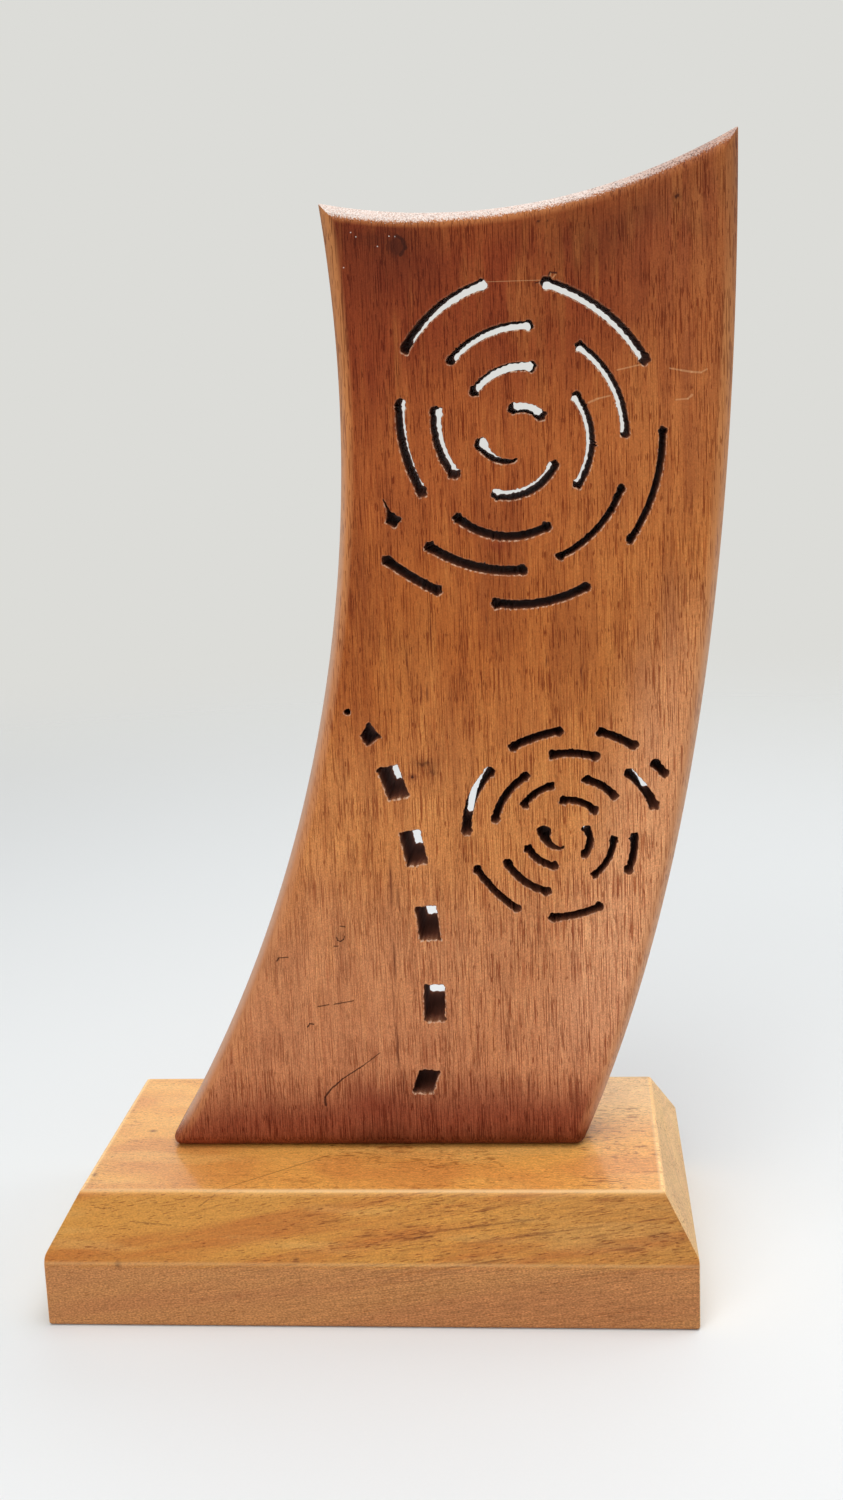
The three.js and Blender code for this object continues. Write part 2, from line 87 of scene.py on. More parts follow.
class Skin:
    """Gathers the points, painted values and faces of one closed surface, in millimetres."""

    INSIDE_LOOPS = 1
    TOUCHING = 1e-7

    def __init__(self) -> None:
        """Starts with nothing gathered."""
        self._points: list[Array] = []
        self._paint: dict[Paint, list[Array]] = {paint: [] for paint in Paint}
        self._faces: list[list[int]] = []
        self._count = 0

    def points(self, places: Array, paint: dict[Paint, Array | float] = NO_PAINT) -> Array:
        """Adds points.

        Args:
            places: An array of any shape whose last axis is X, Y and Z.
            paint: The painted values, each one number or an array that fits the points; the rest are 0.

        Returns:
            The points' numbers, in the shape of places without its last axis.
        """
        shape = places.shape[:-1]
        total = int(np.prod(shape))
        numbers = np.arange(self._count, self._count + total).reshape(shape)
        self._points.append(places.reshape(-1, 3))
        for name, values in self._paint.items():
            values.append(np.broadcast_to(paint.get(name, 0.0), shape).reshape(-1))
        self._count += total
        return numbers

    def where(self, numbers: Array) -> Array:
        """The places of points, by their numbers."""
        return np.concatenate(self._points)[numbers]

    def grid(self, numbers: Array, left_out: Array | None = None) -> None:
        """Adds a four-sided face for each cell of a grid whose rows are closed rings.

        Args:
            numbers: Point numbers, one ring in each row.
            left_out: True for each cell that gets no face.
        """
        following = np.roll(numbers, -1, axis=1)
        cells = np.stack([numbers[:-1], following[:-1], following[1:], numbers[1:]], axis=-1)
        kept = cells.reshape(-1, 4) if left_out is None else cells[~left_out]
        self._faces.extend(kept.tolist())

    def turn(self, middle: Array, radii: Array, heights: Array, sides: int) -> Array:
        """Adds a turned wall: at each height, points at a radius from an upright middle line.

        Args:
            middle: The middle line's X and Y.
            radii: A row for each height, of one radius or of one for each point round.
            heights: One height for each row.
            sides: How many points lie round each ring.

        Returns:
            The points' numbers, one ring in each row.
        """
        flat = middle + radii[..., None] * around(full_round(sides))
        levels = np.broadcast_to(heights[:, None, None], (*flat.shape[:2], 1))
        numbers = self.points(np.concatenate([flat, levels], axis=-1))
        self.grid(numbers)
        return numbers

    def cap(self, ring: Array, middle: Array, height: float) -> None:
        """Closes a ring with a fan of triangles to one new point.

        Args:
            ring: The ring's point numbers.
            middle: The new point's X and Y.
            height: Its height.
        """
        tip = self.points(np.array([[*middle, height]]))
        fan = np.stack([ring, np.roll(ring, -1), np.full_like(ring, tip[0])], axis=-1)
        self._faces.extend(fan.tolist())

    def fill(self, loops: list[Array], axes: tuple[int, int], *inner: Array) -> None:
        """Fills the flat stretch between an outline and the holes in it with Delaunay triangles.

        Args:
            loops: Closed loops of point numbers, the outline first and then each hole.
            axes: The two axes that the stretch is seen along.
            inner: Numbers of loose points between them, if there are any.
        """
        numbers = np.concatenate([*loops, *inner])
        flat = self.where(numbers)[:, axes]
        starts = np.cumsum([0, *(len(loop) for loop in loops)])
        rounds = [list(range(low, high)) for low, high in zip(starts[:-1], starts[1:])]
        made = delaunay_2d_cdt(flat.tolist(), [], rounds, self.INSIDE_LOOPS, self.TOUCHING)
        _, _, faces, sources, _, owners = made
        if not all(sources):
            raise ValueError("two of the loops cross")
        named = [numbers[source[0]] for source in sources]
        for face, owner in zip(faces, owners):
            if owner == [0]:
                self._faces.append([int(named[corner]) for corner in face])

    def build(self, name: str, crease: float = 40) -> bpy.types.Object:
        """Makes the mesh object, closed and facing out, in metres.

        Args:
            name: The piece's name.
            crease: The angle in degrees past which an edge is drawn sharp.

        Returns:
            The new object, at the origin.
        """
        mesh = bpy.data.meshes.new(name)
        mesh.from_pydata(np.concatenate(self._points) * MM, [], self._faces)
        for paint, values in self._paint.items():
            layer = mesh.attributes.new(paint.value, "FLOAT", "POINT")
            layer.data.foreach_set("value", np.concatenate(values).astype(np.float32))
        shell = bmesh.new()
        shell.from_mesh(mesh)
        bmesh.ops.delete(shell, geom=[v for v in shell.verts if not v.link_faces], context="VERTS")
        bmesh.ops.recalc_face_normals(shell, faces=shell.faces)
        shell.to_mesh(mesh)
        shell.free()
        mesh.shade_smooth()
        mesh.set_sharp_from_angle(angle=math.radians(crease))
        piece = bpy.data.objects.new(name, mesh)
        bpy.context.scene.collection.objects.link(piece)
        return piece


def rough_line(along: Array, longest: float, shortest: float, seed: int) -> Array:
    """A rough closed line of unit spread: sine waves of random height and phase, summed.

    Args:
        along: The distance round the line at each point, ending short of the full round.
        longest: The longest wave, in the same unit.
        shortest: The shortest wave.
        seed: The draw that the heights and phases come from.

    Returns:
        The line's height at each point.
    """
    full = along[-1] + along[1]
    draw = np.random.default_rng(seed)
    first = max(1, round(full / longest))
    waves = np.arange(first, max(first + 2, round(full / shortest)))
    heights = draw.normal(size=waves.size)
    phases = draw.uniform(0, TAU, waves.size)
    summed = (heights * np.sin(np.outer(along / full * TAU, waves) + phases)).sum(axis=1)
    return summed / np.sqrt((heights**2).sum() / 2)


def around(turn: Array | float) -> Array:
    """The unit direction at each turn in radians: its cosine across and its sine along."""
    return np.stack([np.cos(turn), np.sin(turn)], axis=-1)


def full_round(sides: int) -> Array:
    """So many even turns, in radians, short of the full round."""
    return np.linspace(0, TAU, sides, endpoint=False)


def crossed(one: Array, two: Array) -> Array:
    """How far directions cross: the first's X by the second's Y, less its Y by the second's X."""
    return one[..., 0] * two[..., 1] - one[..., 1] * two[..., 0]


def travelled(line: Array) -> Array:
    """The distance along a line to each of its points."""
    return np.concatenate([[0], np.cumsum(np.hypot(*np.diff(line, axis=0).T))])


def columns_at(places: Array, reach: Array, table: Array) -> Array:
    """A table's two columns at places along a reach, each worked out linearly between its rows."""
    return np.stack([np.interp(places, reach, table[:, k]) for k in (0, 1)], axis=-1)


def cubic(corners: tuple[Array, ...], count: int) -> Array:
    """A cubic curve: its corners weighted by (1 - t)^3, 3 (1 - t)^2 t, 3 (1 - t) t^2 and t^3.

    Args:
        corners: Its start, the corners that it leaves towards and comes in from, and its end.
        count: How many points it gets.

    Returns:
        The points, for t from 0 to 1.
    """
    start, after, before, end = corners
    t = np.linspace(0, 1, count)[:, None]
    line = (1 - t) ** 3 * start + 3 * (1 - t) ** 2 * t * after
    return line + 3 * (1 - t) * t**2 * before + t**3 * end


def lifted(flat: Array, height: float) -> Array:
    """Flat points, put at a height."""
    return np.column_stack([flat, np.full(len(flat), height)])


def evened(outline: Array, count: int) -> Array:
    """A closed outline as so many points, spread evenly from its first point.

    Args:
        outline: The outline's points.
        count: How many points it gets.

    Returns:
        The new points.
    """
    closed = np.vstack([outline, outline[:1]])
    reach = travelled(closed)
    return columns_at(np.linspace(0, reach[-1], count, endpoint=False), reach, closed)


def softened(outline: Array, passes: int) -> Array:
    """A closed line with its corners eased.

    Args:
        outline: The line's points or values.
        passes: How often each moves to the mean of itself, taken twice, and its two neighbours.

    Returns:
        The eased line.
    """
    for _ in range(passes):
        outline = (np.roll(outline, 1, axis=0) + 2 * outline + np.roll(outline, -1, axis=0)) / 4
    return outline


def shrunk(outline: Array, by: float) -> Array:
    """An outline made smaller by a share of its size, about the mean of its points."""
    middle = outline.mean(axis=0)
    return middle + (outline - middle) * (1 - by)


def turning(outline: Array) -> Array:
    """How sharply an outline bends about each point, from 0 to 1 where it bends most."""
    along = np.roll(outline, -1, axis=0) - outline
    before = np.roll(along, 1, axis=0)
    bend = softened(np.abs(np.arctan2(crossed(before, along), (before * along).sum(axis=1))), 20)
    return bend / bend.max()


def outward(outline: Array) -> Array:
    """The unit direction away from the inside at each point of an anticlockwise outline."""
    along = np.roll(outline, -2, axis=0) - np.roll(outline, 2, axis=0)
    along /= np.hypot(*along.T)[:, None]
    return np.stack([along[:, 1], -along[:, 0]], axis=1)


# The panel's outline


class Edge:
    """One edge of the panel's outline, read by the share of its length."""

    def __init__(self, points: Array) -> None:
        """Takes the edge as a dense line of points."""
        reach = travelled(points)
        self.length = float(reach[-1])
        self._shares = reach / self.length
        self._points = points
        along = np.gradient(points, self._shares, axis=0)
        self._along = along / np.hypot(*along.T)[:, None]

    def at(self, share: Array, inset: float = 0) -> Array:
        """The edge's points at the shares, drawn in by an inset square to the edge."""
        along = self.direction(share)
        inward = np.stack([-along[..., 1], along[..., 0]], axis=-1)
        return columns_at(share, self._shares, self._points) + inset * inward

    def direction(self, share: Array) -> Array:
        """The edge's unit direction at the shares."""
        return columns_at(share, self._shares, self._along)

    def across_at(self, height: float) -> float:
        """How far across the edge lies at a height."""
        order = np.argsort(self._points[:, 1])
        return float(np.interp(height, self._points[order, 1], self._points[order, 0]))


@dataclass(frozen=True)
class PanelOutline:
    """The curved blade's outline, its heights counted from its foot and X from the plinth's middle."""

    height: float
    foot_length: float = 156.5
    foot_middle: float = -2.3
    left_tip_height: float = 338.8
    left_tip_lean: float = 74.7
    right_tip_lean: float = 57.8
    left_hollow: float = 30
    top_hollow: float = 12.2
    foot_angle: float = 66.3
    foot_reach: float = 118
    tip_reach: float = 110
    corner_radii: tuple[float, ...] = (4, 0.5, 0.5, 3)
    least_radius: float = 0.25
    spacing: float = 2.5
    corner_steps: int = 5
    fineness: int = 700

    MEETING_STEPS = 12

    def _hollow_edge(self, start: Array, end: Array, hollow: float) -> Edge:
        """An arc whose radius is (chord^2 / 4 + hollow^2) / (2 hollow).

        Args:
            start: Where it starts.
            end: Where it ends.
            hollow: How far its middle lies in from the straight line between them.

        Returns:
            The arc.
        """
        chord = end - start
        length = np.hypot(*chord)
        radius = (length**2 / 4 + hollow**2) / (2 * hollow)
        away = np.array([chord[1], -chord[0]]) / length
        centre = (start + end) / 2 + away * (radius - hollow)
        first, last = (math.atan2(*(point - centre)[::-1]) for point in (start, end))
        turns = np.linspace(first, last if last < first else last - TAU, self.fineness)
        return Edge(centre + radius * around(turns))

    def edges(self) -> list[Edge]:
        """Sets out the four edges from the foot's and the tips' sizes.

        Returns:
            The foot, a straight line; the right edge, a cubic curve; the top and left edges, arcs.
        """
        half = self.foot_length / 2
        left_foot = np.array([self.foot_middle - half, 0])
        right_foot = np.array([self.foot_middle + half, 0])
        left_tip = left_foot + [self.left_tip_lean, self.left_tip_height]
        right_tip = right_foot + [self.right_tip_lean, self.height]
        from_foot = right_foot + self.foot_reach * around(math.radians(self.foot_angle))
        under_tip = right_tip - [0, self.tip_reach]
        shares = np.linspace(0, 1, self.fineness)[:, None]
        return [
            Edge(left_foot + shares * (right_foot - left_foot)),
            Edge(cubic((right_foot, from_foot, under_tip, right_tip), self.fineness)),
            self._hollow_edge(right_tip, left_tip, self.top_hollow),
            self._hollow_edge(left_tip, left_foot, self.left_hollow),
        ]

    @staticmethod
    def _meeting(before: Edge, after: Edge, inset: float) -> Pair:
        """Finds where two neighbouring edges meet: each step goes along their directions to the crossing.

        Args:
            before: The first edge.
            after: The edge that starts where it ends.
            inset: How far both are drawn in.

        Returns:
            The meeting place, as a share of each edge.
        """
        first, second = 1.0, 0.0
        for _ in range(PanelOutline.MEETING_STEPS):
            gap = after.at(second, inset) - before.at(first, inset)
            one, two = before.direction(first), after.direction(second)
            across = crossed(one, two)
            first += float(crossed(gap, two) / across / before.length)
            second += float(crossed(gap, one) / across / after.length)
            first, second = min(max(first, 0), 1), min(max(second, 0), 1)
        return first, second

    def ring(self, inset: float) -> Array:
        """The outline drawn in by an inset.

        Each corner is an arc of its own radius less the inset, about the place where its two edges meet when
        they are drawn in by the inset and that radius.

        Args:
            inset: How far it is drawn in.

        Returns:
            The outline's points, always the same number of them.
        """
        edges = self.edges()
        corners = []
        for k, radius in enumerate(self.corner_radii):
            left = max(radius - inset, self.least_radius)
            corners.append((*self._meeting(edges[k], edges[(k + 1) % 4], inset + left), left))
        parts = []
        for k, edge in enumerate(edges):
            end, after, radius = corners[k]
            start = corners[k - 1][1]
            steps = math.ceil(edge.length / self.spacing)
            parts.append(edge.at(np.linspace(start, end, steps + 1), inset))
            one, two = edge.direction(end), edges[(k + 1) % 4].direction(after)
            low = math.atan2(-one[0], one[1])
            turn = math.atan2(crossed(one, two), one @ two)
            turns = low + turn * np.arange(1, self.corner_steps) / self.corner_steps
            parts.append(edge.at(end, inset + radius) + radius * around(turns))
        return np.concatenate(parts)

    def foot_steps(self) -> int:
        """How many steps of a ring lie along the straight foot, from its first point."""
        return math.ceil(self.foot_length / self.spacing)


# The cuts through the panel


@dataclass(frozen=True)
class Slot:
    """A curved slot about its rosette's centre: its angles in degrees, three radii and the saw's width.

    A slot with a tail narrows to that width and ends there. The lean is how far across and up the saw had
    wandered by the time it left the panel's back.
    """

    start: float
    end: float
    radii: Triple
    width: float
    lean: Pair = (0, 0)
    tail: float | None = None

    SIDE_STEPS = 40
    ARC_STEPS = 14

    def thinned(self, by: float) -> "Slot":
        """The slot sawn thinner by a share of its width."""
        tail = None if self.tail is None else self.tail * (1 - by)
        return replace(self, width=self.width * (1 - by), tail=tail)

    def outline(self, centre: Array, flare: float, shorter: float = 0) -> Array:
        """Its radius is a parabola through the three radii, and its ends are drilled round.

        Args:
            centre: The rosette's centre.
            flare: How much wider than the saw's half width a drilled end's radius is.
            shorter: How far each drilled end is drawn in along the slot.

        Returns:
            The outline's points, anticlockwise.
        """
        first, middle, last = self.radii
        bend = 2 * (first + last) - 4 * middle
        end_radius = self.width / 2 + flare
        length = math.radians(self.end - self.start) * middle
        neck = math.acos(self.width / 2 / end_radius)
        low = (end_radius + shorter) / length
        high = 1 - low if self.tail is None else 1.0
        neck_share = end_radius * math.sin(neck) / length

        def middle_line(share: Array) -> tuple[Array, Array]:
            """The middle line's points at the shares, and the directions out from the rosette's centre."""
            away = around(np.radians(self.start + (self.end - self.start) * share))
            radius = first + (last - first - bend) * share + bend * share**2
            return centre + radius[..., None] * away, away

        def drilled(share: float, facing: int) -> Array:
            """The round end: an arc about the middle line's end, from one side of the slot to the other."""
            hub, out = middle_line(np.array(share))
            side, ahead = facing * out, facing * np.array([-out[1], out[0]])
            turns = np.linspace(-neck, math.pi + neck, self.ARC_STEPS + 1)[1:-1]
            return hub + end_radius * around(turns) @ np.array([side, ahead])

        sides_end = high - neck_share if self.tail is None else 1.0
        shares = np.linspace(low + neck_share, sides_end, self.SIDE_STEPS)
        middles, away = middle_line(shares)
        narrowing = 0 if self.tail is None else self.tail - self.width
        half = away * (self.width + narrowing * shares)[:, None] / 2
        far = [drilled(high, 1)] if self.tail is None else []
        return np.concatenate([middles + half, *far, (middles - half)[::-1], drilled(low, -1)])


@dataclass(frozen=True)
class Window:
    """A small square hole: how far along the row, how tall, and its top edge's rise in degrees."""

    along: float
    tall: float
    rise: float
    lean: Pair = (0, 0)


@dataclass(frozen=True)
class CutStyle:
    """How one kind of cut looks.

    The tooth is the spread of its saw marks, the bite is that of the rare deeper ones, and the broken edge
    is that of the torn fibres, which show as pale, with a painted highlight that is stronger on the lower
    edges, which face up. A cut is sawn thinner than it is drawn by one share of its width at the front and
    by another at the back, where each of a slot's ends is drawn in too.
    """

    tooth: float
    bite: float
    broken: float
    pale: float
    thinner: float
    back_thinner: float
    back_shorter: float


class CutKind(Enum):
    """The kinds of cut through the panel."""

    UPPER = CutStyle(0.045, 0.3, 0.17, pale=0.9, thinner=0.13, back_thinner=0.23, back_shorter=1.4)
    LOWER = CutStyle(0.045, 0.3, 0.17, pale=0.7, thinner=0.02, back_thinner=0.2, back_shorter=1.4)
    WINDOW = CutStyle(0.06, 0.2, 0.3, pale=1.4, thinner=0.06, back_thinner=0.08, back_shorter=0)


@dataclass(frozen=True)
class Cut:
    """One cut through the panel: its outlines on the front and back faces, and its kind."""

    front: Array
    back: Array
    kind: CutKind

    SPACING = 0.5
    FEWEST = 16

    def evened(self) -> tuple[Array, Array]:
        """Both outlines as the same number of even points, with their corners eased."""
        length = travelled(np.vstack([self.front, self.front[:1]]))[-1]
        count = max(self.FEWEST, round(length / self.SPACING))
        return softened(evened(self.front, count), 1), softened(evened(self.back, count), 1)


@dataclass(frozen=True)
class Carving:
    """All that is cut through the panel: two rosettes of slots, a split, and a row of small holes."""

    panel: PanelOutline
    flare: float = 0.4
    upper_below_tip: float = 96.4
    upper_from_edge: float = 73.4
    lower_height: float = 120
    lower_from_edge: float = 41
    row_top_height: float = 166
    row_top_from_edge: float = 9.8
    row_foot_height: float = 26.6
    row_foot_from_edge: float = 84
    row_top_angle: float = -37
    row_top_reach: float = 27.5
    row_foot_angle: float = -109
    row_foot_reach: float = 34.5
    drill_radius: float = 1.2
    drill_sides: int = 24
    window_width: float = 8
    kite_along: float = 11.5

    UPPER_SLOTS = (
        Slot(21, 97, (12, 10, 8), 3.75, (-0.25, 0.75)),
        Slot(182, 281, (11.5, 10, 8.5), 4.5, (-0.65, 0.8), tail=0.9),
        Slot(68, 135, (23.5, 21.5, 19), 3.2, (0, 0.5)),
        Slot(-112, -33, (21, 19.5, 17), 3.7, (-2.15, 0.35)),
        Slot(-42, 32, (28, 26.5, 24.5), 3.3, (-1.35, -0.25)),
        Slot(157, 216, (27.5, 25, 23.5), 4.2, (-0.25, 0.75)),
        Slot(77, 131, (36.5, 34.5, 32), 3.1, (0, 0.6)), Slot(-128, -68, (33.5, 34.5, 33), 3.3, (-0.5, 2)),
        Slot(-4, 53, (38, 37.5, 36.5), 3.2, (-0.65, 0)), Slot(160, 213, (40, 37, 36.5), 3.6, (-0.5, 1.4)),
        Slot(-72, -26, (44.5, 43, 41), 2.6, (-1.25, 1.25)),
        Slot(-131, -85, (47.5, 46.5, 46), 3.6, (0, 1.25)),
        Slot(98, 142, (50.5, 48.5, 46), 3.6, (1.3, 2.2)), Slot(25, 78, (50.5, 50, 51), 3.8, (-1, 0.75)),
        Slot(-45, 1, (54, 51.5, 50.5), 2.6, (-1.5, 0.5)),
        Slot(-99, -64, (57.5, 58, 57.5), 3.4, (-0.5, 0.75)),
        Slot(-139, -116, (61, 59.5, 59), 3.6, (-0.25, 0.5)),
    )
    LOWER_SLOTS = (
        Slot(152, 267, (7.5, 6.5, 5), 4.6, tail=0.8), Slot(-56, 21, (10.5, 9.5, 7.5), 2.6, (-2.2, 0)),
        Slot(31, 97, (14, 13, 12), 2.6), Slot(-165, -101, (14, 13, 12), 2.7),
        Slot(99, 146, (18, 18, 17.5), 2.5), Slot(-60, -3, (18.5, 18, 17.5), 2.3),
        Slot(33, 71, (22.5, 22, 21), 2.8), Slot(-157, -103, (23, 22.5, 22), 2.8),
        Slot(118, 170, (25, 25, 25), 2.7, (-1, 0.75)), Slot(-35, 0, (26.5, 25.5, 24.5), 2.7, (-1, 0.5)),
        Slot(64, 100, (30.5, 29.5, 29), 2.8), Slot(-102, -63, (31.5, 30, 29.5), 2.8),
        Slot(14, 46, (33.5, 32.5, 31.5), 3.2, (-1.5, 0.5)), Slot(-161, -120, (34, 32.5, 32.5), 2.6),
        Slot(135, 180, (34.5, 35, 34.5), 3.3, (0.25, 0.25)), Slot(89, 121, (37.5, 36.5, 36.5), 2.9),
        Slot(49, 72, (40.5, 39.5, 39), 2.9), Slot(29, 40, (42, 41, 41), 3),
    )
    SPLIT = ((-45.1, -19.9), (-43.8, -24.6), (-44.4, -28.3), (-41.6, -30.3), (-38.6, -26.9), (-42.4, -24.8))
    SPLIT_LEAN = (0.75, 1)
    KITE = ((0, 5), (-3.2, 0), (-1.2, -4), (4, -0.7))
    WINDOWS = (
        Window(30.5, 13.1, 9.9, (0, 1.2)), Window(55.5, 13.7, 8.9, (0.5, 0.6)),
        Window(84, 13.6, 1.3, (0.4, 0.9)), Window(114.5, 15, 0, (-0.3, 0.95)), Window(145.7, 10.1, -2.4),
    )

    def upper_centre(self) -> Array:
        """The upper rosette's centre, set out from the taller tip and the right edge."""
        height = self.panel.height - self.upper_below_tip
        return np.array([self.panel.edges()[1].across_at(height) - self.upper_from_edge, height])

    def lower_centre(self) -> Array:
        """The lower rosette's centre, set out from the foot and the right edge."""
        across = self.panel.edges()[1].across_at(self.lower_height)
        return np.array([across - self.lower_from_edge, self.lower_height])

    def _row(self) -> Edge:
        """Sets out the bent line that the small holes follow from the left edge.

        Returns:
            The line from its top to its foot, a cubic curve.
        """
        edge = self.panel.edges()[3]
        top, foot = (
            np.array([edge.across_at(height) + from_edge, height])
            for height, from_edge in (
                (self.row_top_height, self.row_top_from_edge),
                (self.row_foot_height, self.row_foot_from_edge),
            )
        )
        after = top + self.row_top_reach * around(math.radians(self.row_top_angle))
        before = foot - self.row_foot_reach * around(math.radians(self.row_foot_angle))
        return Edge(cubic((top, after, before, foot), self.panel.fineness))

    def row_outlines(self) -> tuple[list[Array], list[Array]]:
        """Sets out the row of small holes, each turned along the row.

        Returns:
            The drilled hole and the kite, and then the windows.
        """
        row = self._row()
        drilled = row.at(0.0) + self.drill_radius * around(full_round(self.drill_sides))
        kite = row.at(self.kite_along / row.length) + np.array(self.KITE)
        windows = []
        for window in self.WINDOWS:
            share = min(window.along / row.length, 1)
            down = row.direction(share) * window.tall / 2
            across = self.window_width / 2 * around(math.radians(window.rise))
            corners = np.array([down - across, down + across, across - down, -across - down])
            windows.append(row.at(share) + corners)
        return [drilled, kite], windows

    def cuts(self) -> list[Cut]:
        """Lists every cut, each thinner behind, where the saw had leant away.

        Returns:
            The slots of the upper and lower rosettes, the split, the drilled hole, the kite and the windows.
        """
        upper = self.upper_centre()
        small, windows = self.row_outlines()
        made = []
        for centre, slots, kind in (
            (upper, self.UPPER_SLOTS, CutKind.UPPER),
            (self.lower_centre(), self.LOWER_SLOTS, CutKind.LOWER),
        ):
            style = kind.value
            for slot in slots:
                before = slot.thinned(style.thinner).outline(centre, self.flare)
                behind = slot.thinned(style.back_thinner).outline(centre, self.flare, style.back_shorter)
                made.append(Cut(before, behind + np.array(slot.lean), kind))
        split = upper + np.array(self.SPLIT)
        made.append(Cut(split, split + np.array(self.SPLIT_LEAN), CutKind.UPPER))
        made += [Cut(outline, outline, CutKind.LOWER) for outline in small]
        style = CutKind.WINDOW.value
        for window, outline in zip(self.WINDOWS, windows):
            before, behind = shrunk(outline, style.thinner), shrunk(outline, style.back_thinner)
            made.append(Cut(before, behind + np.array(window.lean), CutKind.WINDOW))
        return made


# The panel


@dataclass(frozen=True)
class LipStep:
    """One ring of a cut's broken edge: its depth and spread as shares of the edge, and its paint."""

    depth: float
    spread: float
    beyond: float
    wall: float
    pale: float


